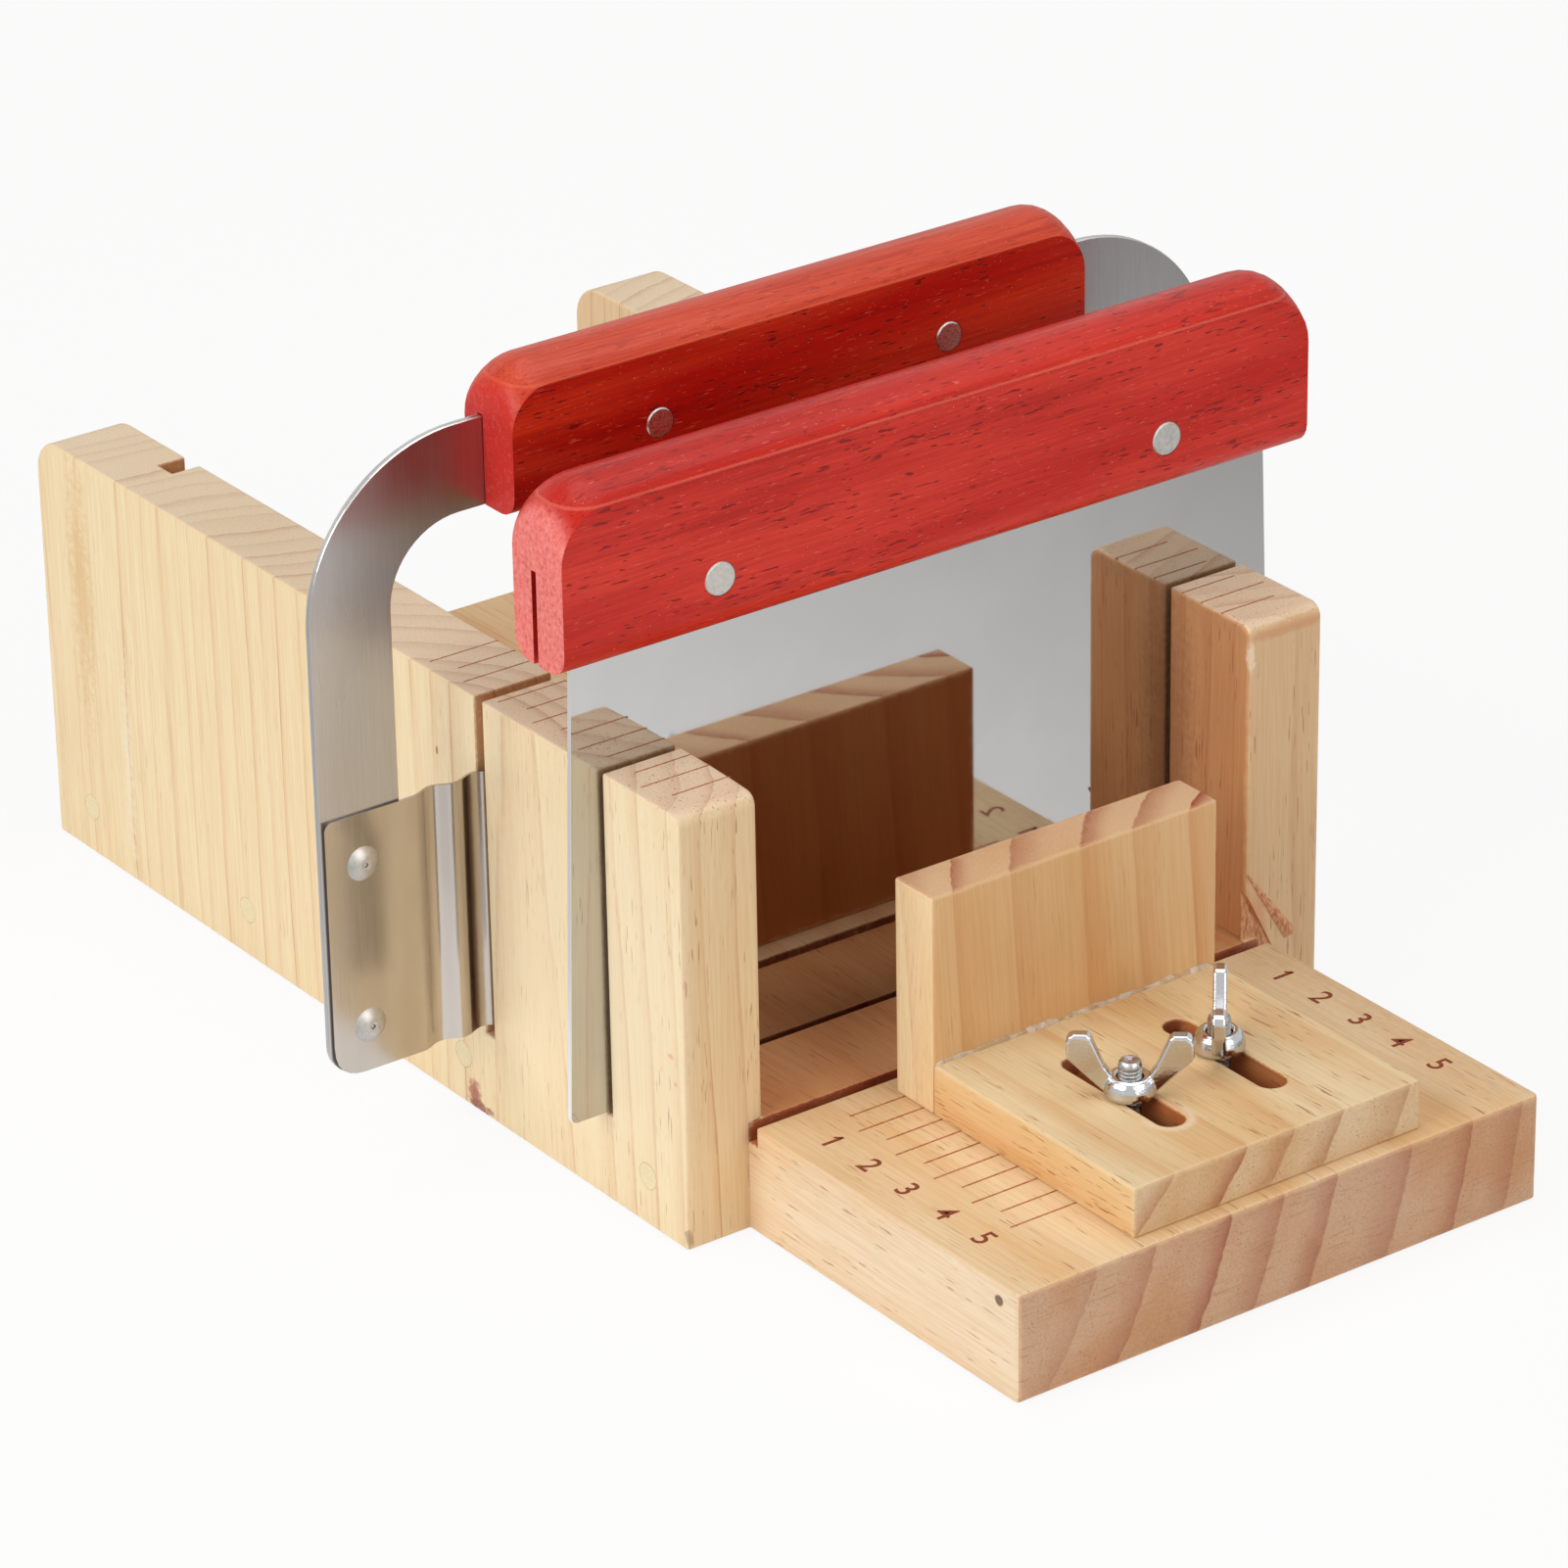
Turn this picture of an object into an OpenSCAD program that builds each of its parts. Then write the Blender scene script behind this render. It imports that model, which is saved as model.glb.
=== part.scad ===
// Soap cutter: a wooden cutting box with a ruled end, an adjustable stop,
// a straight cutter and a wavy cutter that drop into saw slots.
// X runs along the box towards the ruled end, Y across it, Z up.
// The origin is the middle of the base board's underside. Sizes are in millimetres.

/* [Base board] */
// Clear width of the channel that the soap lies in
channel_w = 101.2; // [90:0.2:112]
// Thickness of the base board
base_t = 19.5; // [18:0.5:24]
// Length of the ruled end that runs on past the walls
ruled_l = 71.3; // [70:0.1:90]
// Width of the zero kerf across the base board at the walls' front faces
zero_kerf_w = 2.2; // [1.6:0.1:3]
// Depth of the zero kerf
zero_kerf_d = 3.5; // [2:0.1:5]

/* [Side walls] */
// Length of each side wall
wall_l = 197; // [185:1:215]
// Thickness of each side wall
wall_t = 15.6; // [13:0.1:18]
// Height of each side wall above the table
wall_h = 78.3; // [70:0.1:86]
// How far the base board is let into each wall
housing_d = 3.1; // [2:0.1:5]
// Radius on the walls' rear top corners
wall_rear_r = 7; // [2:0.5:12]
// Radius on the walls' front top corners
wall_front_r = 2.5; // [1:0.5:5]
// Distance from the walls' rear ends to the middle of the end board groove
groove_inset = 27.8; // [20:0.1:36]
// Width of the groove for an end board
groove_w = 4.7; // [4.2:0.1:7]
// Depth of the groove for an end board
groove_d = 5.6; // [4.2:0.1:8]

/* [Saw slots] */
// Width of the saw slots in the walls and of their kerfs in the base board
slot_w = 2.4; // [2.4:0.1:3.2]
// How far the slots in the walls reach below the base board's top
slot_floor_d = 3.5; // [3:0.1:6]
// Distance from the walls' front faces to the straight cutter's slot
straight_inset = 22.1; // [16:0.1:28]
// Distance from the walls' front faces to the wavy cutter's slot
wavy_inset = 56.5; // [50:0.1:70]
// Depth of the straight cutter's kerf in the base board
straight_kerf_d = 3.3; // [2:0.1:5]
// Depth of the wavy cutter's kerf in the base board
wavy_kerf_d = 1.8; // [1:0.1:4]

/* [Dowels] */
// Diameter of the dowels that pin the walls to the base board
dowel_d = 4.8; // [4:0.1:7]
// Length of each dowel
dowel_l = 36; // [24:1:45]
// Height of the dowels' centres above the table
dowel_z = 9.1; // [7:0.1:11]
// Distance from the walls' front faces to the front dowel
dowel_front = 11; // [8:0.5:14]
// Distance from the walls' front faces to the second dowel
dowel_second = 64.8; // [62:0.1:80]
// Distance from the walls' front faces to the third dowel
dowel_third = 132.7; // [120:0.1:145]
// Distance from the walls' rear ends to the rear dowel
dowel_rear = 12; // [8:0.5:16]

/* [Stop block] */
// Distance from the walls' front faces to the back of the stop's fence
stop_gap = 6.2; // [0:0.1:10]
// Sideways shift of the stop and its bolts from the middle of the base board
stop_shift = 1.2; // [-4:0.1:4]
// Width of the fence and of the foot
stop_w = 59; // [50:1:70]
// Thickness of the fence
fence_t = 10; // [8:0.5:12]
// Height of the fence above the base board
fence_h = 39.2; // [30:0.1:50]
// Length of the foot in front of the fence
foot_l = 52; // [46:0.5:58]
// Thickness of the foot
foot_t = 9; // [7:0.5:12]
// Distance from the fence to the near end of the foot's slots
foot_slot_inset = 11.2; // [8:0.1:12]
// Length of the foot's slots from end to end
foot_slot_l = 28.6; // [24:0.1:32]
// Width of the foot's slots
foot_slot_w = 5.2; // [5.1:0.1:6.5]
// Distance between the two slots and between the two bolts
bolt_spacing = 21; // [20.8:0.2:30]

/* [Bolts and wing nuts] */
// Distance from the walls' front faces to the left bolt
left_bolt_gap = 43.4; // [40:0.1:46]
// Distance from the walls' front faces to the right bolt
right_bolt_gap = 40.3; // [37:0.1:43]
// Diameter of the bolts
bolt_d = 4; // [3.6:0.1:4.8]
// Height of the bolts' tips above the foot
bolt_rise = 6.4; // [4.6:0.1:8]
// Diameter of the bolt heads
bolt_head_d = 8; // [7:0.1:11]
// Thickness of the bolt heads
bolt_head_t = 2.6; // [2:0.1:4]
// Depth of the bolt heads' undersides above the table
bolt_head_recess = 0.8; // [0.3:0.1:2]
// Diameter of the wing nuts at the foot
nut_base_d = 8.8; // [8:0.1:10]
// Diameter of the wing nuts at the top of the body
nut_top_d = 7.2; // [6.4:0.1:8]
// Height of the wing nuts' bodies
nut_h = 3.7; // [3.2:0.1:5]
// Span of the wings from tip to tip
wing_span = 20.6; // [18:0.1:20.6]
// Height of the wing tips above the foot
wing_rise = 11; // [9:0.1:12]
// Thickness of the wings
wing_t = 2.5; // [1.8:0.1:3]
// Turn of the left nut's wings from the X axis
left_nut_turn = 50; // [0:1:180]
// Turn of the right nut's wings from the X axis
right_nut_turn = 140; // [0:1:180]

/* [Straight cutter] */
// Thickness of the straight blade
straight_t = 1; // [0.8:0.1:1.4]
// Height of the straight blade with the part inside the handle
straight_blade_h = 98.4; // [90:0.1:110]
// Width of the straight blade at its cutting edge
straight_edge_w = 147.6; // [140:0.2:160]
// Width of the straight blade at its top
straight_top_w = 141; // [134:0.2:150]
// Radius on the straight blade's lower corners
straight_corner_r = 1.5; // [0.5:0.1:4]
// Height of the straight blade inside the handle
straight_tang = 14.8; // [12:0.1:18]
// Depth of the slit in the straight handle
straight_slit_d = 16.3; // [16:0.1:20]
// Length of the straight handle
straight_handle_l = 151.6; // [145:0.2:170]
// Height of the straight handle
straight_handle_h = 31.2; // [26:0.1:38]
// Radius on the straight handle's upper end corners
straight_handle_r = 9; // [5:0.5:12]
// Sideways shift of the straight handle on its blade
straight_handle_shift = -1.4; // [-3:0.1:3]
// Offset of the straight handle's middle in front of its blade
straight_handle_lead = 1.1; // [-2:0.1:2]
// Distance between the straight handle's rivets
straight_rivet_spacing = 91; // [70:1:110]
// Height of the rivets above the straight handle's underside
straight_rivet_z = 9.3; // [8:0.1:10]
// Diameter of the straight handle's rivets
straight_rivet_d = 6; // [4:0.1:7]

/* [Wavy cutter] */
// Thickness of the wavy blade
wavy_t = 0.5; // [0.4:0.1:0.6]
// Height of the wavy blade
wavy_blade_h = 47; // [40:0.5:56]
// Flat length of the blade between the bow's arms and the first wave
wave_margin = 2.5; // [1.5:0.1:6]
// Depth of the waves, between the sheet's middle surfaces
wave_depth = 1.4; // [0.8:0.1:1.4]
// Number of waves between the two flat ends
wave_count = 18; // [14:1:20]
// Overall width of the bow
bow_w = 185.6; // [180:0.2:200]
// Height of the bow from the cutting edge to its top
bow_h = 110; // [102:0.5:120]
// Width of the bow's strip
strip_w = 15.6; // [14:0.1:16]
// Thickness of the bow's strip
strip_t = 1.2; // [1:0.1:2]
// Outer radius of the bow's shoulders
shoulder_r = 29.3; // [24:0.1:34]
// Radius on the lower outer corners of the bow and of the blade
lower_corner_r = 6; // [3:0.5:7]
// Radius on the upper outer corners of the blade
upper_corner_r = 1.6; // [0.5:0.1:3]
// How far the blade's ends stand in from the bow's outer edges
blade_end_inset = 0.7; // [0:0.1:1.5]
// Sideways shift of the wavy cutter in its slot
wavy_shift = -5.2; // [-8:0.1:8]
// Length of the wavy handle
wavy_handle_l = 116.6; // [106:0.2:122]
// Height of the wavy handle
wavy_handle_h = 25.3; // [21:0.1:30]
// Radius on the wavy handle's upper end corners
wavy_handle_r = 7.5; // [5:0.5:11]
// Offset of the wavy handle's middle in front of the bow's strip
wavy_handle_lead = 2.4; // [-2.5:0.1:2.5]
// Distance between the wavy handle's rivets
wavy_rivet_spacing = 59; // [50:1:80]
// Height of the rivets above the wavy handle's underside
wavy_rivet_z = 9.6; // [7:0.1:11]
// Diameter of the wavy handle's rivets
wavy_rivet_d = 5.4; // [4:0.1:6]
// Diameter of the blade rivets' heads
blade_rivet_head_d = 6.1; // [5:0.1:7]
// Height of the blade rivets' domed heads
blade_rivet_head_h = 1.1; // [0.7:0.1:1.5]
// Diameter of the blade rivets' shanks
blade_rivet_d = 3.6; // [3:0.1:4]
// Distance from the blade's upper edge to the upper rivets
blade_rivet_top = 9; // [7:0.1:12]
// Distance from the cutting edge to the lower rivets
blade_rivet_bottom = 8.3; // [7.5:0.1:12]

/* [Handles] */
// Thickness of both handles
handle_t = 13.7; // [12:0.1:16]
// Radius along the handles' lower edges
handle_edge_r = 4; // [2:0.5:5]
// Rise of the handles' crowned tops above their faces
handle_crown = 3.2; // [2:0.1:5]

/* [Clearances] */
// Play on each side of a blade in its handle's slit
slit_play = 0.15; // [0.1:0.05:0.3]
// Gap between a cutting edge and the floor of its kerf
edge_gap = 0.3; // [0.2:0.05:0.4]
// Radial play of a dowel, rivet or bolt in its own hole
pin_play = 0.03; // [0.02:0.01:0.05]
// Radial running play of a wing nut on its bolt
nut_play = 0.06; // [0.04:0.01:0.09]
// Gap between a wing nut and the foot
nut_gap = 0.1; // [0.05:0.05:0.2]
// Play round a bolt head in its recess
head_play = 0.4; // [0.2:0.1:0.8]

/* [Hidden] */

$fn = 64;
hull_fn = 32;
cut = 1;                // how far a cut runs past the face that it opens

pine = "#ecd3a0";
pine_side = "#f1dcae";
dowel_wood = "#d9b27c";
red_wood = "#b52a22";
bright_steel = "#c9ccd0";
brushed_steel = "#8f8b89";
aluminium = "#c8c8c6";

// The box
base_l = wall_l + ruled_l;
base_w = channel_w + 2 * housing_d;
outer_w = channel_w + 2 * wall_t;
rear_x = -base_l / 2;
front_x = rear_x + wall_l;
straight_x = front_x - straight_inset;
wavy_x = front_x - wavy_inset;
slot_floor_z = base_t - slot_floor_d;
dowel_xs = [front_x - dowel_front, front_x - dowel_second, front_x - dowel_third, rear_x + dowel_rear];
wall_cap_r = max(wall_rear_r, wall_front_r);

// The stop
stop_x = front_x + stop_gap;
foot_x = stop_x + fence_t;
foot_top = base_t + foot_t;
bolts = [[front_x + left_bolt_gap, stop_shift - bolt_spacing / 2],
    [front_x + right_bolt_gap, stop_shift + bolt_spacing / 2]];
bolt_l = foot_top + bolt_rise - bolt_head_recess;
bolt_tip = 0.5;
head_groove_w = 1.2;
head_groove_d = 1;
wing_root = 0.8;        // how far a wing reaches into the nut's body at the top
wing_foot_z = 0.5;
wing_foot_in = 0.6;     // how far the wing's lower root stands inside the body's foot
wing_blade_h = 4.4;
wing_top_in = 1.9;      // how far the wing's top stands in from its tip
wing_top_w = 1.7;
wing_bend = 0.75;

// The straight cutter
straight_edge_z = base_t - straight_kerf_d + edge_gap;
straight_handle_z = straight_edge_z + straight_blade_h - straight_tang;
straight_rivets_y = [straight_handle_shift - straight_rivet_spacing / 2,
    straight_handle_shift + straight_rivet_spacing / 2];

// The wavy cutter
wavy_edge_z = base_t - wavy_kerf_d + edge_gap;
wave_half = wave_depth / 2;
wave_steps = 10;
wave_run = bow_w - 2 * strip_w - 2 * wave_margin;
wave_pitch = wave_run / wave_count;
blade_end_y = bow_w / 2 - blade_end_inset;
strip_x = wavy_x + wave_half - wavy_t / 2 - strip_t / 2;
strip_inner_r = shoulder_r - strip_w;
wavy_handle_z = wavy_edge_z + bow_h - strip_w;
wavy_rivets_y = [wavy_shift - wavy_rivet_spacing / 2, wavy_shift + wavy_rivet_spacing / 2];
blade_rivet_y = bow_w / 2 - strip_w / 2;
rivet_tail_d = blade_rivet_head_d - 0.7;
rivet_tail_h = 0.7;
blade_rivets_z = [wavy_edge_z + blade_rivet_bottom, wavy_edge_z + wavy_blade_h - blade_rivet_top];

// The handles
crown_r = (pow(handle_t / 2, 2) + pow(handle_crown, 2)) / (2 * handle_crown);
handle_slices = 14;
slice_t = 0.02;
rivet_proud = 0.15;
rivet_edge = 0.3;

function unit(v) = v / norm(v);

// Points of a smooth bend of reach r round corner b, between a and c
function bend(a, b, c, r, n = 6) =
    let (p = b + unit(a - b) * r, q = b + unit(c - b) * r)
    [for (i = [0:n]) let (t = i / n) (1 - t) * (1 - t) * p + 2 * t * (1 - t) * b + t * t * q];

// Outline through corners [x, y, reach], each with its own bend
function bent_outline(c) = [for (i = [0:len(c) - 1]) let (
        a = c[(i + len(c) - 1) % len(c)], b = c[i], d = c[(i + 1) % len(c)])
    each bend([a[0], a[1]], [b[0], b[1]], [d[0], d[1]], b[2])];

// Lays a flat outline, drawn in Y and Z, as a plate of thickness t centred in X
module plate_yz(t) {
    rotate([90, 0, 90]) linear_extrude(t, center = true) children();
}

// What a rounded corner of radius r takes away; the corner points to +x +y
module corner_waste(r) {
    difference() {
        square(r + cut);
        circle(r);
    }
}

// A pin along X, through the point [0, y, z]
module pin_x(d, l, y, z) {
    translate([0, y, z]) rotate([0, 90, 0]) cylinder(d = d, h = l, center = true);
}

// Outline of a side wall seen from the side
module wall_outline() {
    difference() {
        translate([rear_x, 0]) square([wall_l, wall_h]);
        translate([rear_x + wall_rear_r, wall_h - wall_rear_r]) mirror([1, 0]) corner_waste(wall_rear_r);
        translate([front_x - wall_front_r, wall_h - wall_front_r]) corner_waste(wall_front_r);
    }
}

// A saw cut across the whole box, centred at x, down to height z
module saw_cut(x, z) {
    translate([x - slot_w / 2, -outer_w / 2 - cut, z])
        cube([slot_w, outer_w + 2 * cut, wall_h - z + cut]);
}

// The dowels of the left wall, or with play their holes, which start outside the wall
module dowel_row(play) {
    out = play > 0 ? cut : 0;
    for (x = dowel_xs) translate([x, -outer_w / 2 - out, dowel_z])
        rotate([-90, 0, 0]) cylinder(d = dowel_d + 2 * play, h = dowel_l + out);
}

module base_solid() {
    difference() {
        translate([rear_x, -base_w / 2, 0]) cube([base_l, base_w, base_t]);
        saw_cut(straight_x, base_t - straight_kerf_d);
        saw_cut(wavy_x, base_t - wavy_kerf_d);
        translate([front_x, -base_w / 2 - cut, base_t - zero_kerf_d])
            cube([zero_kerf_w, base_w + 2 * cut, zero_kerf_d + cut]);
        dowel_row(pin_play);
        mirror([0, 1, 0]) dowel_row(pin_play);
        for (at = bolts) translate([at[0], at[1], 0]) {
            translate([0, 0, -cut]) cylinder(d = bolt_d + 2 * pin_play, h = base_t + 2 * cut);
            translate([0, 0, -cut])
                cylinder(d = bolt_head_d + 2 * head_play, h = bolt_head_recess + bolt_head_t + cut);
        }
    }
}

module left_wall_solid() {
    difference() {
        translate([0, -channel_w / 2, 0]) rotate([90, 0, 0]) linear_extrude(wall_t) wall_outline();
        translate([rear_x - cut, -base_w / 2, -cut]) cube([wall_l + 2 * cut, base_w, base_t + cut]);
        saw_cut(straight_x, slot_floor_z);
        saw_cut(wavy_x, slot_floor_z);
        translate([rear_x + groove_inset - groove_w / 2, -channel_w / 2 - groove_d, base_t])
            cube([groove_w, groove_d + cut, wall_h - base_t + cut]);
        dowel_row(pin_play);
    }
}

// A bolt with a slotted head, a plain shank and a chamfered tip
module stop_bolt(at) {
    translate([at[0], at[1], bolt_head_recess]) {
        difference() {
            cylinder(d = bolt_head_d, h = bolt_head_t);
            translate([-bolt_head_d / 2 - cut, -head_groove_w / 2, -cut])
                cube([bolt_head_d + 2 * cut, head_groove_w, head_groove_d + cut]);
        }
        translate([0, 0, bolt_head_t]) cylinder(d = bolt_d, h = bolt_l - bolt_head_t - bolt_tip);
        translate([0, 0, bolt_l - bolt_tip]) cylinder(d1 = bolt_d, d2 = bolt_d - 2 * bolt_tip, h = bolt_tip);
    }
}

// One wing of a wing nut, drawn outwards from the bolt's axis
module wing_outline() {
    tip = wing_span / 2;
    root = nut_top_d / 2 - wing_root;
    foot = [nut_base_d / 2 - wing_foot_in, wing_foot_z];
    low = [tip - 0.4, wing_rise - wing_blade_h];
    outer = [tip, wing_rise - wing_blade_h / 2];
    top = [tip - wing_top_in, wing_rise];
    inner = [tip - wing_top_in - wing_top_w, wing_rise];
    throat = [nut_top_d / 2 + 0.1, nut_h + 0.9];
    back = [root, nut_h - wing_foot_z];
    polygon(concat([back, [root, wing_foot_z], foot],
        bend(foot, low, outer, wing_bend), bend(low, outer, top, wing_bend),
        bend(outer, top, inner, wing_bend), bend(top, inner, throat, wing_bend),
        bend(inner, throat, back, wing_bend)));
}

module wing_nut(at, turn) {
    translate([at[0], at[1], foot_top + nut_gap]) rotate(turn)
        difference() {
            union() {
                cylinder(d1 = nut_base_d, d2 = nut_top_d, h = nut_h);
                for (side = [0, 180]) rotate(side)
                    rotate([90, 0, 0]) linear_extrude(wing_t, center = true) wing_outline();
            }
            translate([0, 0, -cut]) cylinder(d = bolt_d + 2 * nut_play, h = wing_rise + 2 * cut);
        }
}

module stop_foot_solid() {
    difference() {
        translate([foot_x, stop_shift - stop_w / 2, base_t]) cube([foot_l, stop_w, foot_t]);
        for (at = bolts) translate([foot_x + foot_slot_inset, at[1], base_t - cut]) {
            r = foot_slot_w / 2;
            for (x = [r, foot_slot_l - r]) translate([x, 0, 0]) cylinder(r = r, h = foot_t + 2 * cut);
            translate([r, -r, 0]) cube([foot_slot_l - 2 * r, foot_slot_w, foot_t + 2 * cut]);
        }
    }
}

module stop_fence_solid() {
    translate([stop_x, stop_shift - stop_w / 2, base_t]) cube([fence_t, stop_w, fence_h]);
}

// Height that the crowned top adds at distance x from the handle's middle
function crown_at(x) = sqrt(crown_r * crown_r - x * x) - (crown_r - handle_crown);

// Height of the rounded underside at distance x from the handle's middle
function belly_at(x) = let (e = max(0, abs(x) - (handle_t / 2 - handle_edge_r)))
    handle_edge_r - sqrt(max(0, handle_edge_r * handle_edge_r - e * e));

// Outline of a handle seen from the front, from height z0 up to z1
module handle_outline(l, z0, z1, r) {
    translate([-l / 2, z0]) square([l, z1 - r - z0]);
    translate([-l / 2 + r, z1 - r - slice_t]) square([l - 2 * r, r + slice_t]);
    for (y = [-l / 2 + r, l / 2 - r]) translate([y, z1 - r]) circle(r, $fn = hull_fn);
}

// A handle of length l and height h, with a slit of width sw and depth sd that lies behind its middle
module handle_solid(l, h, r, lead, sw, sd, rivet_d, rivets_y, rivet_z) {
    face_h = h - handle_crown;
    difference() {
        hull() for (i = [0:handle_slices]) {
            x = (handle_t / 2) * sin(-90 + 180 * i / handle_slices);
            translate([x - sign(x) * slice_t / 2, 0, 0])
                plate_yz(slice_t) handle_outline(l, belly_at(x), face_h + crown_at(x), r);
        }
        translate([-lead - sw / 2, -l / 2 - cut, -cut]) cube([sw, l + 2 * cut, sd + cut]);
        for (y = rivets_y) pin_x(rivet_d + 2 * pin_play, handle_t + 2 * cut, y, rivet_z);
    }
}

// A headless rivet across a handle, its ends a little proud and eased
module handle_rivet(d) {
    l = handle_t + 2 * rivet_proud;
    rotate([0, 90, 0]) {
        cylinder(d = d, h = l - 2 * rivet_edge, center = true);
        for (side = [0, 180]) rotate([side, 0, 0]) translate([0, 0, l / 2 - rivet_edge])
            cylinder(d1 = d, d2 = d - 2 * rivet_edge, h = rivet_edge);
    }
}

module straight_blade_solid() {
    top = straight_top_w / 2;
    edge = straight_edge_w / 2;
    h = straight_blade_h;
    r = straight_corner_r;
    difference() {
        translate([straight_x, 0, straight_edge_z]) plate_yz(straight_t)
            polygon(bent_outline([[-edge, 0, r], [edge, 0, r], [top, h, r], [-top, h, r]]));
        for (y = straight_rivets_y) translate([straight_x, 0, 0])
            pin_x(straight_rivet_d + 2 * pin_play, 2 * cut + straight_t, y,
                straight_handle_z + straight_rivet_z);
    }
}

// X of the wavy sheet's middle at distance y from the cutter's middle
function wave_x(y) = abs(y) > wave_run / 2 ? wave_half : wave_half * cos(360 * (y + wave_run / 2) / wave_pitch);

wave_ys = concat([-blade_end_y - cut],
    [for (i = [0:wave_count * wave_steps]) -wave_run / 2 + i * wave_pitch / wave_steps],
    [blade_end_y + cut]);

module wavy_blade_solid() {
    translate([wavy_x, wavy_shift, wavy_edge_z]) difference() {
        intersection() {
            translate([0, 0, -cut]) linear_extrude(wavy_blade_h + 2 * cut) polygon(concat(
                [for (y = wave_ys) [wave_x(y) + wavy_t / 2, y]],
                [for (i = [len(wave_ys) - 1:-1:0]) [wave_x(wave_ys[i]) - wavy_t / 2, wave_ys[i]]]));
            plate_yz(4 * wave_depth + 2 * wavy_t) polygon(bent_outline([
                [-blade_end_y, 0, lower_corner_r], [blade_end_y, 0, lower_corner_r],
                [blade_end_y, wavy_blade_h, upper_corner_r], [-blade_end_y, wavy_blade_h, upper_corner_r]]));
        }
        for (y = [-blade_rivet_y, blade_rivet_y]) for (z = blade_rivets_z)
            pin_x(blade_rivet_d + 2 * pin_play, 4 * wave_depth, y, z - wavy_edge_z);
    }
}

// An upright slab of width w and height h with rounded upper corners
module arch(w, h, r) {
    translate([-w / 2, 0]) square([w, h - r]);
    translate([-w / 2 + r, h - r - cut]) square([w - 2 * r, r + cut]);
    for (y = [-w / 2 + r, w / 2 - r]) translate([y, h - r]) circle(r);
}

module wavy_bow_solid() {
    translate([strip_x, wavy_shift, wavy_edge_z]) difference() {
        plate_yz(strip_t) difference() {
            arch(bow_w, bow_h, shoulder_r);
            translate([0, -cut]) arch(bow_w - 2 * strip_w, bow_h - strip_w + cut, strip_inner_r);
            for (side = [0, 1]) mirror([side, 0])
                translate([bow_w / 2 - lower_corner_r, lower_corner_r]) mirror([0, 1])
                    corner_waste(lower_corner_r);
        }
        for (y = [-blade_rivet_y, blade_rivet_y]) for (z = blade_rivets_z)
            pin_x(blade_rivet_d + 2 * pin_play, 4 * strip_t, y, z - wavy_edge_z);
        for (y = wavy_rivets_y)
            pin_x(wavy_rivet_d + 2 * pin_play, 4 * strip_t, y - wavy_shift,
                wavy_handle_z + wavy_rivet_z - wavy_edge_z);
    }
}

// A domed rivet through the blade's flat end and the bow, with a flat tail behind
module blade_rivet(side, z) {
    plate_front = wave_half + wavy_t / 2;
    stack = wavy_t + strip_t;
    head_r = blade_rivet_head_d / 2;
    dome_r = (head_r * head_r + blade_rivet_head_h * blade_rivet_head_h) / (2 * blade_rivet_head_h);
    translate([wavy_x + plate_front, wavy_shift + side * blade_rivet_y, z]) rotate([0, 90, 0]) {
        intersection() {
            translate([0, 0, blade_rivet_head_h - dome_r]) sphere(dome_r);
            cylinder(r = head_r, h = blade_rivet_head_h + cut);
        }
        translate([0, 0, -stack]) cylinder(d = blade_rivet_d, h = stack);
        translate([0, 0, -stack - rivet_tail_h])
            cylinder(d1 = rivet_tail_d - rivet_tail_h, d2 = rivet_tail_d, h = rivet_tail_h);
    }
}

module base_board() {
    color(pine) base_solid();
}
module left_wall() {
    color(pine_side) left_wall_solid();
}
module right_wall() {
    color(pine_side) mirror([0, 1, 0]) left_wall_solid();
}
module left_wall_dowels() {
    color(dowel_wood) dowel_row(0);
}
module right_wall_dowels() {
    color(dowel_wood) mirror([0, 1, 0]) dowel_row(0);
}
module left_stop_bolt() {
    color(bright_steel) stop_bolt(bolts[0]);
}
module right_stop_bolt() {
    color(bright_steel) stop_bolt(bolts[1]);
}
module left_wing_nut() {
    color(bright_steel) wing_nut(bolts[0], left_nut_turn);
}
module right_wing_nut() {
    color(bright_steel) wing_nut(bolts[1], right_nut_turn);
}
module stop_foot() {
    color(pine) stop_foot_solid();
}
module stop_fence() {
    color(pine) stop_fence_solid();
}
module straight_blade() {
    color(bright_steel) straight_blade_solid();
}
module straight_handle() {
    color(red_wood) translate([straight_x + straight_handle_lead, straight_handle_shift, straight_handle_z])
        handle_solid(straight_handle_l, straight_handle_h, straight_handle_r, straight_handle_lead,
            straight_t + 2 * slit_play, straight_slit_d, straight_rivet_d,
            [-straight_rivet_spacing / 2, straight_rivet_spacing / 2], straight_rivet_z);
}
module straight_left_rivet() {
    color(aluminium) translate([straight_x + straight_handle_lead, straight_rivets_y[0],
        straight_handle_z + straight_rivet_z]) handle_rivet(straight_rivet_d);
}
module straight_right_rivet() {
    color(aluminium) translate([straight_x + straight_handle_lead, straight_rivets_y[1],
        straight_handle_z + straight_rivet_z]) handle_rivet(straight_rivet_d);
}
module wavy_blade() {
    color(bright_steel) wavy_blade_solid();
}
module wavy_bow() {
    color(brushed_steel) wavy_bow_solid();
}
module wavy_handle() {
    color(red_wood) translate([strip_x + wavy_handle_lead, wavy_shift, wavy_handle_z])
        handle_solid(wavy_handle_l, wavy_handle_h, wavy_handle_r, wavy_handle_lead,
            strip_t + 2 * slit_play, strip_w + slit_play, wavy_rivet_d,
            [-wavy_rivet_spacing / 2, wavy_rivet_spacing / 2], wavy_rivet_z);
}
module wavy_left_handle_rivet() {
    color(aluminium) translate([strip_x + wavy_handle_lead, wavy_rivets_y[0],
        wavy_handle_z + wavy_rivet_z]) handle_rivet(wavy_rivet_d);
}
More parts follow.
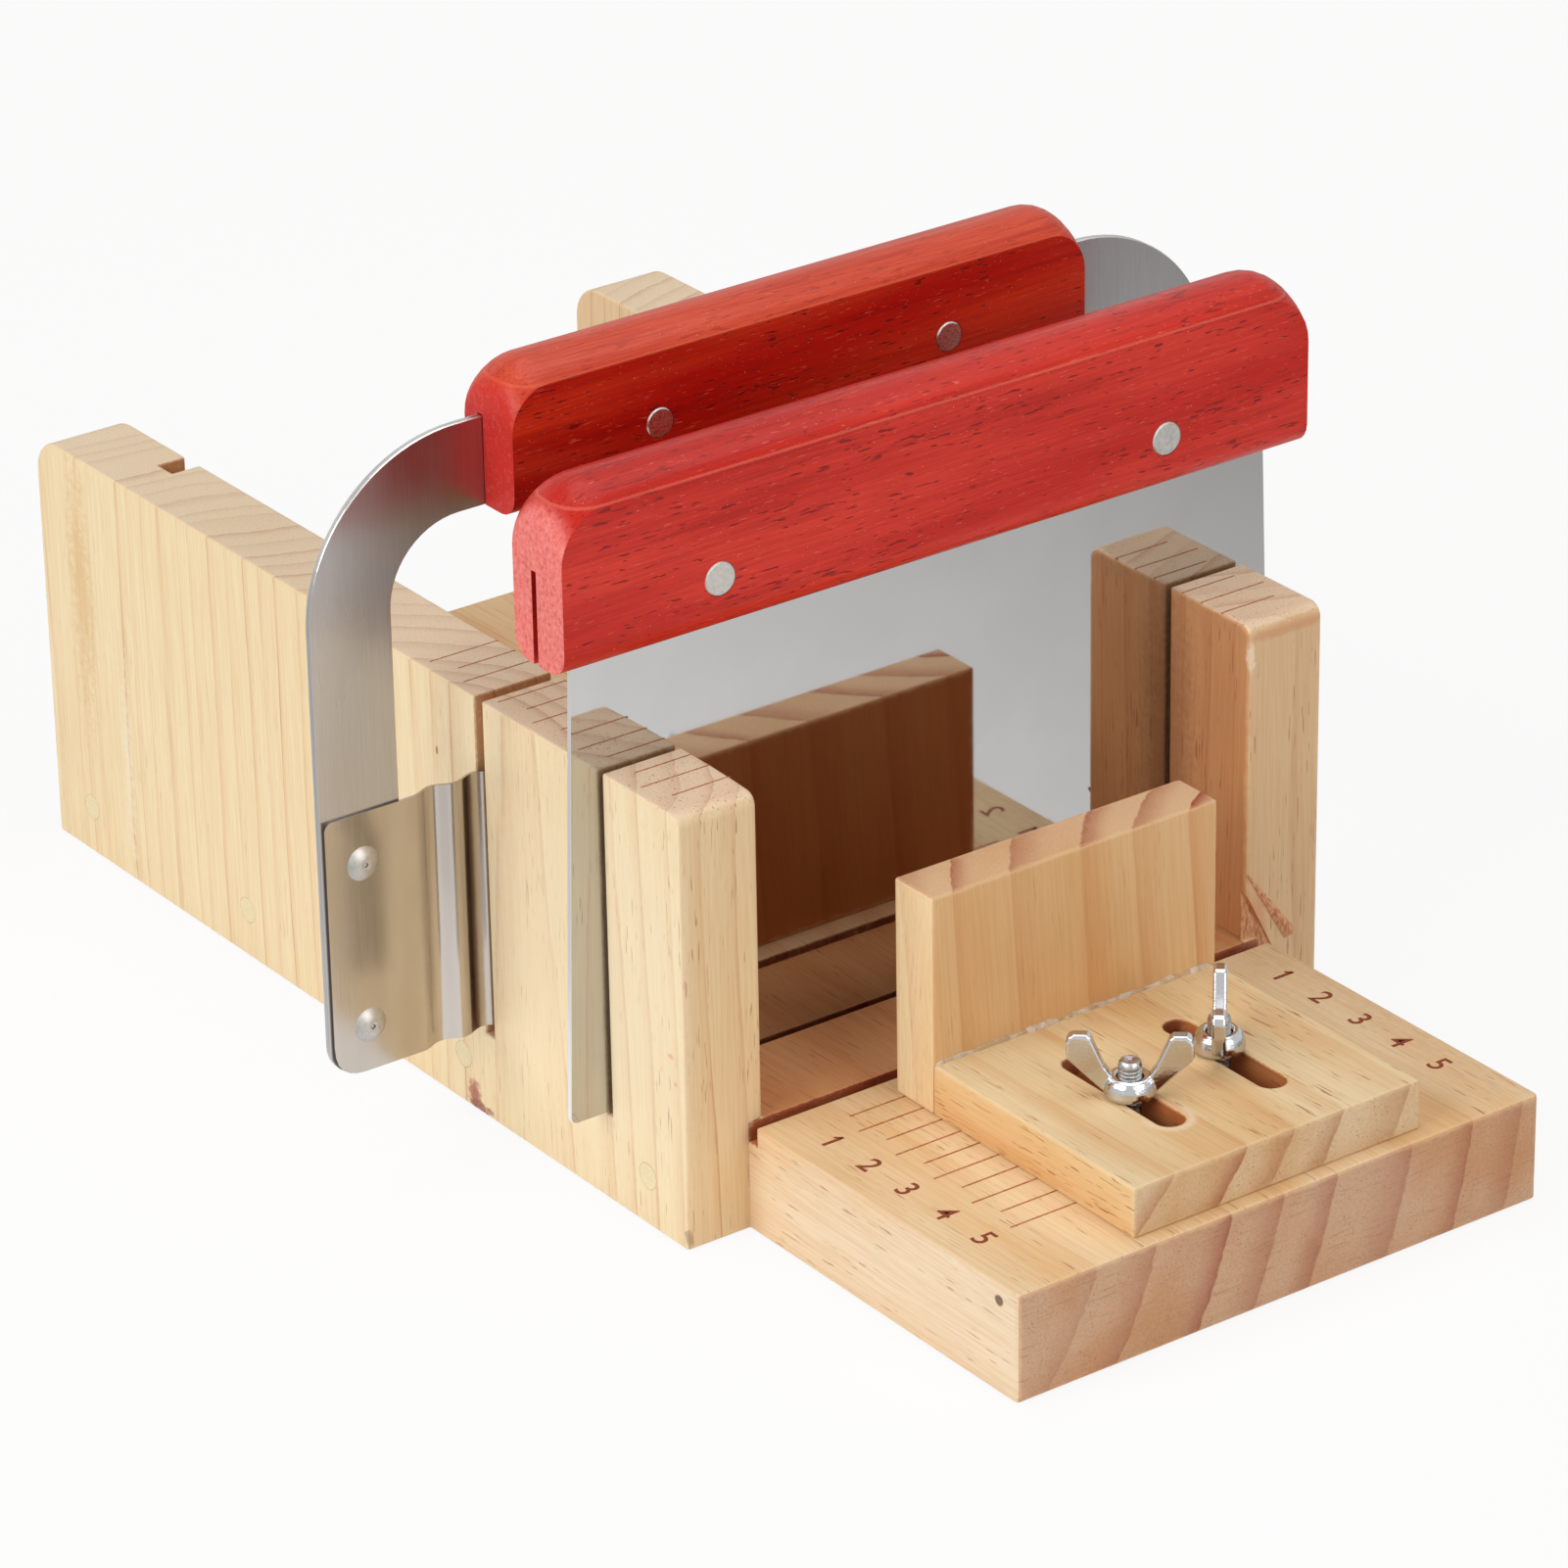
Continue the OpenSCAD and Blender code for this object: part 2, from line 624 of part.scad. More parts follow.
module wavy_right_handle_rivet() {
    color(aluminium) translate([strip_x + wavy_handle_lead, wavy_rivets_y[1],
        wavy_handle_z + wavy_rivet_z]) handle_rivet(wavy_rivet_d);
}
module left_upper_blade_rivet() {
    color(aluminium) blade_rivet(-1, blade_rivets_z[1]);
}
module left_lower_blade_rivet() {
    color(aluminium) blade_rivet(-1, blade_rivets_z[0]);
}
module right_upper_blade_rivet() {
    color(aluminium) blade_rivet(1, blade_rivets_z[1]);
}
module right_lower_blade_rivet() {
    color(aluminium) blade_rivet(1, blade_rivets_z[0]);
}

base_board();
left_wall();
right_wall();
left_wall_dowels();
right_wall_dowels();
left_stop_bolt();
right_stop_bolt();
left_wing_nut();
right_wing_nut();
stop_foot();
stop_fence();
straight_blade();
straight_handle();
straight_left_rivet();
straight_right_rivet();
wavy_blade();
wavy_bow();
wavy_handle();
wavy_left_handle_rivet();
wavy_right_handle_rivet();
left_upper_blade_rivet();
left_lower_blade_rivet();
right_upper_blade_rivet();
right_lower_blade_rivet();
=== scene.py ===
import math
import bpy
import bmesh
from mathutils import Matrix, Vector, noise


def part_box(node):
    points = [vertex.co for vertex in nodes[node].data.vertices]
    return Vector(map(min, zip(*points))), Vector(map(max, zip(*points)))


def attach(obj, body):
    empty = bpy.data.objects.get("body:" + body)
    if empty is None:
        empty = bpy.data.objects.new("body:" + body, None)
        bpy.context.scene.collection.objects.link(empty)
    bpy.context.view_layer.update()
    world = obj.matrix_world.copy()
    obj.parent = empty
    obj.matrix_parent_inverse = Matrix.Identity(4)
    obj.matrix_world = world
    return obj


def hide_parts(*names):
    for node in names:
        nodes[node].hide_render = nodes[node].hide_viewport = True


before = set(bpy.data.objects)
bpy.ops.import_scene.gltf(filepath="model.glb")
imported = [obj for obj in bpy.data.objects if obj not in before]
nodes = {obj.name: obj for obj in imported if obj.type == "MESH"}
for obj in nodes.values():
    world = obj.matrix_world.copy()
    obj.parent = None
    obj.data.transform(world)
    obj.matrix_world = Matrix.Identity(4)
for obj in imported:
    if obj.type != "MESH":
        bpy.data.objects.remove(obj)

scene = bpy.context.scene
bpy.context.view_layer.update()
mm = 0.001
imageSize = 1601

print("stage: camera, lights and floor")

# Camera, as measured from the photograph
view = {
    "place": (900.38, -648.66, 579.10),   # mm, in the part's frame
    "azimuth": 54.234,
    "elevation": 25.888,
    "roll": -1.0255,
    "focalPixels": 7353.6,
    "sensor": 36.0,
}

def makeCamera():
    az, el, roll = (math.radians(view[k]) for k in ("azimuth", "elevation", "roll"))
    back = Vector((math.sin(az) * math.cos(el), -math.cos(az) * math.cos(el), math.sin(el)))
    right = (-back).cross(Vector((0, 0, 1))).normalized()
    up = right.cross(-back)
    side = math.cos(roll) * right + math.sin(roll) * up
    top = -math.sin(roll) * right + math.cos(roll) * up
    data = bpy.data.cameras.new("studioCamera")
    data.sensor_width = view["sensor"]
    data.sensor_fit = "HORIZONTAL"
    data.lens = view["focalPixels"] / imageSize * view["sensor"]
    data.clip_start, data.clip_end = 0.01, 20
    camera = bpy.data.objects.new("studioCamera", data)
    turn = Matrix((side, top, back)).transposed().to_4x4()
    camera.matrix_world = Matrix.Translation(Vector(view["place"]) * mm) @ turn
    scene.collection.objects.link(camera)
    scene.camera = camera

makeCamera()
scene.view_settings.view_transform = "Standard"

def addNode(kind, inputs, **settings):  # in the tree that the linked inputs come from
    linked = {key: value for key, value in inputs.items() if isinstance(value, bpy.types.NodeSocket)}
    tree = next(iter(linked.values())).id_data
    node = tree.nodes.new(kind)
    for key, value in settings.items():
        setattr(node, key, value)
    for key, value in inputs.items():
        if key in linked:
            tree.links.new(value, node.inputs[key])
        else:
            node.inputs[key].default_value = value
    return node

def maths(operation, first, second=0.0):
    return addNode("ShaderNodeMath", {0: first, 1: second}, operation=operation).outputs[0]

def times(first, *others):
    for other in others:
        first = maths("MULTIPLY", first, other)
    return first

def plus(first, second):
    return maths("ADD", first, second)

def minus(first, second):
    return maths("SUBTRACT", first, second)

def absolute(value):
    return maths("ABSOLUTE", value)

def larger(first, second):
    return maths("MAXIMUM", first, second)

def smaller(first, second):
    return maths("MINIMUM", first, second)

def vectors(operation, first, second=(0, 0, 0)):
    key = "Scale" if operation == "SCALE" else 1
    node = addNode("ShaderNodeVectorMath", {0: first, key: second}, operation=operation)
    return node.outputs["Value" if operation == "LENGTH" else "Vector"]

def stretched(vector, scales):
    return vectors("MULTIPLY", vector, scales)

def split(vector):
    return addNode("ShaderNodeSeparateXYZ", {0: vector}).outputs

def fade(value, low, high, toLow=0.0, toHigh=1.0, smooth=True):
    return addNode("ShaderNodeMapRange", {0: value, 1: low, 2: high, 3: toLow, 4: toHigh},
                   interpolation_type="SMOOTHSTEP" if smooth else "LINEAR").outputs[0]

def noiseOf(vector, scale=1.0, detail=3.0, roughness=0.5):
    if isinstance(scale, tuple):      # one scale for each direction
        vector, scale = stretched(vector, scale), 1.0
    inputs = {"Vector": vector, "Scale": scale, "Detail": detail, "Roughness": roughness}
    return addNode("ShaderNodeTexNoise", inputs).outputs["Fac"]

def movedNoise(vector, location, scale):
    moved = addNode("ShaderNodeMapping", {"Vector": vector, "Location": location, "Scale": scale})
    return noiseOf(moved.outputs[0], 1.0, 1.0)

def tint(red, green, blue):  # display values up to 255, as a linear colour
    def linear(c):
        c /= 255
        return c / 12.92 if c <= 0.04045 else ((c + 0.055) / 1.055) ** 2.4
    return (linear(red), linear(green), linear(blue), 1.0)

def mixColour(factor, first, second, blend="MIX"):
    return addNode("ShaderNodeMix", {0: factor, 6: first, 7: second},
                   data_type="RGBA", blend_type=blend).outputs[2]

def between(factor, first, second):  # from one shade to the other
    return mixColour(factor, tint(*first), tint(*second))

def painted(colour, share, shade):  # the shade laid over the colour
    return mixColour(share, colour, tint(*shade))

def stained(colour, share, shade):  # the shade multiplied into the colour
    return mixColour(share, colour, tint(*shade), "MULTIPLY")

def newGroup(name, inputs, outputs):
    group = bpy.data.node_groups.new(name, "ShaderNodeTree")
    for way, sockets in (("INPUT", inputs), ("OUTPUT", outputs)):
        for label, kind in sockets.items():
            group.interface.new_socket(name=label, in_out=way, socket_type="NodeSocket" + kind)
    return group, group.nodes.new("NodeGroupInput").outputs, group.nodes.new("NodeGroupOutput").inputs

def putOut(outs, **values):
    for label, value in values.items():
        value.id_data.links.new(value, outs[label])

def useGroup(group, inputs):
    return addNode("ShaderNodeGroup", inputs, node_tree=group).outputs

def newMaterial(name, **settings):
    material = bpy.data.materials.new(name)
    material.use_nodes = True
    shader = material.node_tree.nodes["Principled BSDF"]
    for key, value in settings.items():
        shader.inputs[key.replace("_", " ")].default_value = value
    return material, shader

def objectMillimetres(shader):
    place = shader.id_data.nodes.new("ShaderNodeTexCoord").outputs
    return vectors("SCALE", place["Object"], 1000.0), place["Normal"]

def feed(shader, label, socket):
    shader.id_data.links.new(socket, shader.inputs[label])

def addBump(shader, height, distance, strength):
    bump = addNode("ShaderNodeBump", {"Height": height, "Distance": distance, "Strength": strength})
    feed(shader, "Normal", bump.outputs[0])

studio = {
    "floorWhite": 0.88,     # share of the floor that stays white under the camera
    "floorInMetal": 0.9,    # and as the metals reflect it
    "floorFalls": (-0.05, 0.3, 1.24, 0.3),   # from one Y to another, how bright the metals see it
    "floorLeft": (-0.2, -0.04, 0.52, 1.0),   # and a little less on the left
    "floorSize": 6.0,
    "floorDrop": 0.0002,    # how far it lies under the part
    "floorTone": (0.93, 0.93, 0.93, 1),
    "worldLight": 0.06,
    "worldInMetal": 0.8,
    "lamps": [              # name, place, aims at, width, height, watts, colour
        ("keySoftbox", (0.1, -1.75, 1.0), (0, 0, 0.05), 1.6, 1.0, 24.0, (1.0, 0.985, 0.96)),
        ("topSoftbox", (-0.1, 0.15, 1.9), (0, 0, 0), 1.8, 1.6, 17.0, (1.0, 0.99, 0.975)),
        ("frontFill", (1.9, 0.25, 0.9), (0, 0, 0.05), 1.4, 1.2, 15.5, (1.0, 0.97, 0.93)),
    ],
}

def seenShare(ray, camera, metal):  # how much of the backdrop the camera and the metals see
    mirrored = larger(ray["Is Glossy Ray"], ray["Is Transmission Ray"])
    return larger(times(ray["Is Camera Ray"], camera), times(mirrored, metal))

def makeWorld():
    world = bpy.data.worlds.new("studioWorld")
    scene.world = world
    world.use_nodes = True
    tree = world.node_tree
    backdrop = tree.nodes["Background"].inputs
    ray = tree.nodes.new("ShaderNodeLightPath").outputs
    strength = larger(seenShare(ray, 1.0, studio["worldInMetal"]), studio["worldLight"])
    tree.links.new(strength, backdrop["Strength"])
    backdrop["Color"].default_value = (1, 1, 1, 1)

def makeLamps():
    for name, place, aim, width, height, watts, colour in studio["lamps"]:
        data = bpy.data.lights.new(name, "AREA")
        data.shape, data.size, data.size_y = "RECTANGLE", width, height
        data.energy, data.color = watts, colour
        lamp = bpy.data.objects.new(name, data)
        way = Vector(place) - Vector(aim)
        lamp.matrix_world = Matrix.Translation(place) @ way.to_track_quat("Z", "Y").to_matrix().to_4x4()
        scene.collection.objects.link(lamp)

def makeFloor():
    bm = bmesh.new()
    bmesh.ops.create_grid(bm, x_segments=1, y_segments=1, size=studio["floorSize"])
    bmesh.ops.translate(bm, verts=bm.verts, vec=(0, 0, -studio["floorDrop"]))
    floor = finishPiece(bm, "studioFloor")
    material, shader = newMaterial("paleFloor", Base_Color=studio["floorTone"], Roughness=0.9)
    shader.inputs["Specular IOR Level"].default_value = 0.1
    tree = material.node_tree
    ray = tree.nodes.new("ShaderNodeLightPath").outputs
    place = split(tree.nodes.new("ShaderNodeTexCoord").outputs["Object"])
    mirrored = times(fade(place[1], *studio["floorFalls"], smooth=False),
                     fade(place[1], *studio["floorLeft"]))
    strength = addNode("ShaderNodeMix", {0: ray["Is Camera Ray"], 2: mirrored, 3: 1.0}).outputs[0]
    white = addNode("ShaderNodeEmission", {"Color": (1, 1, 1, 1), "Strength": strength})
    share = seenShare(ray, studio["floorWhite"], studio["floorInMetal"])
    mix = addNode("ShaderNodeMixShader", {0: share, 1: shader.outputs[0], 2: white.outputs[0]})
    tree.links.new(mix.outputs[0], tree.nodes["Material Output"].inputs[0])
    floor.data.materials.append(material)

def finishPiece(bm, name, material=None, smoothAngle=None):
    mesh = bpy.data.meshes.new(name)
    for face in bm.faces:
        face.smooth = smoothAngle is not None
    if smoothAngle is not None:
        for edge in bm.edges:
            edge.smooth = len(edge.link_faces) == 2 and edge.calc_face_angle(0) < math.radians(smoothAngle)
    bm.to_mesh(mesh)
    bm.free()
    piece = bpy.data.objects.new(name, mesh)
    scene.collection.objects.link(piece)
    if material:
        mesh.materials.append(material)
    return piece

makeWorld()
makeLamps()
makeFloor()

print("stage: shader groups")

def makeSolidWood():  # rings, fibres and resin canals; the grain runs along Z of the vector
    group, ins, outs = newGroup("solidWood", {"Vector": "Vector", "Ring Gap": "Float", "Warp": "Float",
                                              "Ripple": "Float"},
                                dict.fromkeys(("Late", "Line", "Fibre", "Fleck", "Cloud", "Height"), "Float"))
    vector = ins["Vector"]
    warp = times(minus(noiseOf(vector, (0.02, 0.02, 0.004), 2.0), 0.5), ins["Warp"])
    ripple = times(minus(noiseOf(vector, (0.45, 0.45, 0.02), 2.0), 0.5), ins["Ripple"])
    flat = vectors("LENGTH", stretched(vector, (1, 1, 0)))
    radius = maths("DIVIDE", plus(plus(flat, warp), ripple), ins["Ring Gap"])
    years = addNode("ShaderNodeTexNoise", {"W": radius, "Scale": 0.55, "Detail": 1.0},
                    noise_dimensions="1D").outputs["Fac"]
    count = plus(radius, times(years, 1.3))   # uneven years
    turn = maths("FRACT", count)
    year = addNode("ShaderNodeTexWhiteNoise", {"W": maths("FLOOR", count)},
                   noise_dimensions="1D").outputs["Value"]
    strength = plus(times(year, year, 0.72), 0.28)
    rise = fade(turn, 0.25, 0.95)
    fall = fade(turn, 0.95, 0.99, 1.0, 0.0)
    late = times(times(rise, rise), fall, strength)
    broken = fade(noiseOf(vector, (0.4, 0.4, 0.035), 2.0), 0.38, 0.6, 0.25, 1.0)
    line = times(fade(turn, 0.86, 0.95), fade(turn, 0.955, 0.99, 1.0, 0.0))
    line = times(line, times(strength, broken))
    fibre = noiseOf(vector, (2.3, 2.3, 0.05), 4.0, 0.65)
    canals = noiseOf(vector, (2.6, 2.6, 0.16), 1.0)
    patches = fade(noiseOf(vector, (0.16, 0.16, 0.03), 2.0), 0.38, 0.56)
    fleck = times(fade(canals, 0.665, 0.71), patches)
    cloud = noiseOf(vector, (0.05, 0.05, 0.012), 3.0)
    height = minus(times(fibre, 0.7), times(fleck, 0.8))
    putOut(outs, Late=late, Line=line, Fibre=fibre, Fleck=fleck, Cloud=cloud, Height=height)
    return group

def makeFaceColour():  # one colour for each direction that a board's faces look: the end grain's own tone, and painted light and shade where side faces turned different ways get different colours
    group, ins, outs = newGroup("faceToneAndShade", {"Normal": "Vector", "Along X": "Color", "Along Y": "Color",
                                               "Along Z": "Color"},
                                {"Color": "Color", "X": "Float", "Y": "Float", "Z": "Float"})
    parts = split(vectors("ABSOLUTE", ins["Normal"]))
    x, y, z = (fade(part, 0.55, 0.85) for part in parts)
    colour = mixColour(x, ins["Along Y"], ins["Along X"])
    putOut(outs, Color=mixColour(z, colour, ins["Along Z"]), X=x, Y=y, Z=z)
    return group

def makeBoardEdge():  # a broken line along the edges of a box
    group, ins, outs = newGroup("boardEdge", {"Vector": "Vector", "Low": "Vector", "High": "Vector",
                                              "Width": "Float"}, {"Mask": "Float"})
    toLow, toHigh = (split(vectors("ABSOLUTE", vectors("SUBTRACT", ins["Vector"], ins[corner])))
                     for corner in ("Low", "High"))
    x, y, z = (smaller(*gaps) for gaps in zip(toLow, toHigh))
    middle = larger(smaller(x, y), smaller(larger(x, y), z))
    ragged = times(minus(noiseOf(ins["Vector"], 0.45, 3.0), 0.42), 2.2)
    reach = maths("DIVIDE", minus(middle, ragged), ins["Width"])
    putOut(outs, Mask=fade(reach, 0.0, 1.0, 1.0, 0.0))
    return group

def makeSpot():  # a soft or ragged blot round a point
    group, ins, outs = newGroup("spot", {"Vector": "Vector", "Centre": "Vector", "Reach": "Vector",
                                         "Ragged": "Float", "Soft": "Float"}, {"Mask": "Float"})
    away = vectors("DIVIDE", vectors("SUBTRACT", ins["Vector"], ins["Centre"]), ins["Reach"])
    wobble = times(minus(noiseOf(ins["Vector"], 0.9, 3.0), 0.5), ins["Ragged"])
    edge = plus(vectors("LENGTH", away), times(wobble, 2.0))
    putOut(outs, Mask=fade(edge, minus(1.0, ins["Soft"]), 1.0, 1.0, 0.0))
    return group

def makeBrushed():  # fine scratches; they run along Z of the vector
    group, ins, outs = newGroup("brushedMetal", {"Vector": "Vector", "Pitch": "Float"},
                                {"Streak": "Float", "Cloud": "Float", "Height": "Float"})
    fine = vectors("SCALE", stretched(ins["Vector"], (1, 1, 0.012)), ins["Pitch"])
    streak = noiseOf(fine, 1.0, 4.0, 0.7)
    cloud = noiseOf(ins["Vector"], (0.09, 0.09, 0.03), 2.0)
    putOut(outs, Streak=streak, Cloud=cloud, Height=streak)
    return group

solidWood = makeSolidWood()
faceToneAndShade = makeFaceColour()
boardEdge = makeBoardEdge()
spot = makeSpot()
brushedMetal = makeBrushed()

print("stage: woods")

grainTurn = {"X": (0, math.radians(90), 0), "Y": (math.radians(-90), 0, 0), "Z": (0, 0, 0)}
box = {name: [corner * 1000 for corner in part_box(name)] for name in nodes}
frontX = box["left_wall"][1].x
walls = {
    "inner": 50.6, "outer": 66.2,
    "housing": 53.7,        # where the base board stops inside the wall
    "slots": {"straight": 22.1, "wavy": 56.5},   # how far behind the front
    "slotHalf": 1.2, "slotFloor": 16.0,
    "groove": 27.8,         # how far in front of the rear end
    "grooveHalf": 2.35, "grooveFloor": 19.5, "grooveEnd": 56.3,
}
slotXs = {name: frontX - back for name, back in walls["slots"].items()}
dowels = {"back": (11, 64.8, 132.7), "fromRear": 12, "height": 9.1, "clear": 3.2}
dowelXs = [frontX - back for back in dowels["back"]] + [box["left_wall"][0].x + dowels["fromRear"]]

def woodPattern(look, millimetres):
    turned = addNode("ShaderNodeMapping", {"Vector": millimetres, "Location": look["pith"],
                                           "Rotation": look["lean"]}, vector_type="TEXTURE")
    axis = addNode("ShaderNodeMapping", {"Vector": turned.outputs[0], "Rotation": grainTurn[look["grain"]]},
                   vector_type="TEXTURE")
    return useGroup(solidWood, {"Vector": axis.outputs[0], "Ring Gap": look["ringGap"],
                                "Warp": look["warp"], "Ripple": look["ripple"]})

pineWood = {
    "line": (196, 138, 92), "fibre": (226, 190, 148), "sawn": (140, 92, 66),
    "edgeWidth": 0.9, "edgeShare": 0.3, "bump": (0.0001, 0.4),
    "channelShadeFrom": 15.0,      # the painted channel shade doesn't reach the underside
}

def makePine(name, node, look):
    material, shader = newMaterial(name, Roughness=0.55)
    place, normal = objectMillimetres(shader)
    parts = split(place)
    ways = split(normal)
    wood = woodPattern(look, place)
    face = useGroup(faceToneAndShade, {"Normal": normal, "Along X": tint(*look["faceX"]),
                                 "Along Y": tint(*look["faceY"]), "Along Z": tint(*look["faceZ"])})
    colour, ends = face["Color"], face[look["grain"]]
    if "inner" in look:      # painted shade on the side that looks into the channel, deeper towards the post
        way, shade = look["inner"]
        channelShade = times(fade(times(ways[1], way), 0.55, 0.85),
                        fade(parts[0], frontX - 75, frontX - 30, 0.25, 1.0))
        colour = painted(colour, channelShade, shade)
    if "channelShade" in look:    # behind one X, painted shade in the channel between the walls
        behind, shade = look["channelShade"]
        inside = times(maths("LESS_THAN", parts[0], behind),
                       maths("LESS_THAN", absolute(parts[1]), walls["inner"]))
        inside = times(inside, fade(parts[0], frontX - 110, frontX - 40, 0.0, 1.0),
                       maths("GREATER_THAN", parts[2], pineWood["channelShadeFrom"]))
        colour = stained(colour, inside, shade)
    clouds = times(fade(wood["Cloud"], 0.35, 0.7), look["cloud"])
    colour = stained(colour, clouds, look["cloudTint"])
    rings = fade(ends, 0, 1, look["sideRings"], look["endRings"], smooth=False)
    ringTint = between(ends, look["lateTint"], look["endTint"])
    colour = mixColour(times(wood["Late"], rings), colour, ringTint, "MULTIPLY")
    lines = fade(ends, 0, 1, look["sideLines"], look["endLines"], smooth=False)
    colour = stained(colour, times(wood["Line"], lines), pineWood["line"])
    fibres = times(fade(wood["Fibre"], 0.34, 0.62, 1.0, 0.0), look["fibre"])
    colour = stained(colour, fibres, pineWood["fibre"])
    flecks = times(wood["Fleck"], look["fleck"])
    if "fleckFrom" in look:  # fewer towards the back
        low, high, least = look["fleckFrom"]
        flecks = times(flecks, fade(parts[0], low, high, least, 1.0))
    colour = painted(colour, flecks, look["fleckTint"])
    if "sawn" in look:       # hairlines that the saw left across the end
        scale, amount = look["sawn"]
        hairs = fade(noiseOf(place, scale, 3.0, 0.7), 0.56, 0.7, 0.0, amount)
        colour = painted(colour, times(ends, hairs), pineWood["sawn"])
    paintedShade = noiseOf(place, 1.1, 4.0, 0.75)
    for low, high, floor, reach, shade, amount, spread in look.get("slots", []):  # painted shade inside the sawn slots, with furry rims
        fur = times(minus(paintedShade, 0.5), reach)
        away = plus(absolute(minus(parts[0], (low + high) / 2)), fur)
        inside = times(fade(away, (high - low) / 2 - 0.02, (high - low) / 2 + 0.2, amount, 0.0),
                       fade(plus(parts[2], fur), floor - 0.25, floor + 0.05))
        if spread:
            inside = times(inside, maths("LESS_THAN", absolute(parts[1]), spread))
        colour = stained(colour, inside, shade)
    edge = useGroup(boardEdge, {"Vector": place, "Low": box[node][0], "High": box[node][1],
                                "Width": pineWood["edgeWidth"]})["Mask"]
    colour = painted(colour, times(edge, pineWood["edgeShare"]), look["edgeTint"])
    for centre, reach, shade, amount, ragged, soft in look.get("spots", []):
        mask = useGroup(spot, {"Vector": place, "Centre": centre, "Reach": reach, "Ragged": ragged,
                               "Soft": soft})["Mask"]
        colour = painted(colour, times(mask, amount), shade)
    feed(shader, "Base Color", colour)
    feed(shader, "Roughness", fade(wood["Fibre"], 0.3, 0.7, 0.62, 0.46))
    addBump(shader, plus(wood["Height"], times(wood["Late"], 0.25)), *pineWood["bump"])
    return material

slotShade = (238, 184, 138)

def slotAt(middle, half, *looks):  # looks: floor, ragged reach, shade, amount and how wide across the box
    return (middle - half, middle + half, *looks)

def wallLook(side):
    node = "left_wall" if side < 0 else "right_wall"
    outer, front = box[node][0].y, frontX
    spots = []
    if side < 0:
        spots = [      # a red knot at the foot, specks of red stain, a pin knot and paler streaks
            ((front - 61.9, outer, 2.8), (2.2, 2.0, 3.4), (168, 76, 56), 0.9, 0.7, 0.6),
            ((front - 60.2, outer, 0.9), (4.0, 2.0, 1.3), (140, 50, 34), 0.9, 0.9, 0.6),
            ((front - 3.5, outer, 34.3), (1.2, 1.0, 0.6), (234, 122, 112), 0.8, 0.8, 0.8),
            ((front - 2.4, outer, 29.8), (0.7, 1.0, 0.65), (230, 122, 112), 0.8, 0.8, 0.8),
            ((front - 69.3, outer, 64.2), (0.5, 1.0, 1.0), (150, 84, 40), 0.9, 0.5, 0.5),
            ((front, outer + 0.3, 2.2), (1.1, 1.2, 1.8), (140, 98, 70), 0.6, 0.9, 0.5),
            ((front - 184, outer, 52), (5.0, 3.0, 34), (226, 184, 124), 0.55, 0.8, 0.9),
            ((front - 28, outer, 42), (75, 3.0, 62), (255, 241, 212), 0.42, 0.3, 0.9),
            ((front - 171, outer, 20), (2.4, 3.0, 30), (250, 240, 214), 0.5, 1.4, 0.9),
        ]
    else:
        spots = [      # torn wood round the chip, a paler mark near the top corner, and painted shade on the post under the handle and inside beside the blade
            ((front - 0.6, 52.6, 21.5), (1.6, 3.6, 9.6), (214, 156, 112), 0.7, 0.25, 0.5),
            ((front, 60.0, 15.6), (0.8, 0.3, 2.2), (160, 104, 66), 0.5, 0.4, 0.4),
            ((front, 50.9, 72.5), (1.2, 1.4, 4.0), (246, 226, 200), 0.7, 0.8, 0.6),
            # painted shade where the handle keeps the light off the post
            ((front - 6, 60, 76), (20, 16, 1.6), (212, 156, 112), 0.75, 0.3, 0.6),
            # painted shade on the inside next to the blade
            ((front - 22, walls["inner"], 44), (11, 1.5, 60), (142, 88, 56), 0.6, 0.3, 0.9),
        ]
    return {
        "grain": "Z", "pith": (-30.0 * side - 10, 92.0 * side, 0), "lean": (0.01, 0.02 * side, 0),
        "ringGap": 5.2, "warp": 14.0, "ripple": 0.9,
        # the right post's front is coloured darker: painted shade where less light falls on it
        "faceX": (236, 211, 170) if side < 0 else (226, 196, 156),
        # the inner colour is painted shade on the side that faces the channel
        "faceY": (251, 231, 190), "faceZ": (244, 223, 193), "inner": (-side, (224, 166, 114)),
        "cloudTint": (244, 220, 188), "lateTint": (230, 186, 138),
        "endTint": (206, 170, 148), "edgeTint": (240, 212, 172), "fleckTint": (172, 108, 62),
        "sideRings": 0.36, "endRings": 0.5, "sideLines": 0.55, "endLines": 0.3,
        "fibre": 0.22, "fleck": 0.8, "fleckFrom": (front - 80, front - 25, 0.2), "cloud": 0.15,
        "spots": spots,
        "slots": [slotAt(x, walls["slotHalf"], walls["slotFloor"], 0.9, slotShade, 0.6, 0) for x in slotXs.values()]
        + [slotAt(box[node][0].x + walls["groove"], walls["grooveHalf"], walls["grooveFloor"], 0.6,
                  (226, 166, 112), 0.7, walls["grooveEnd"])],
    }

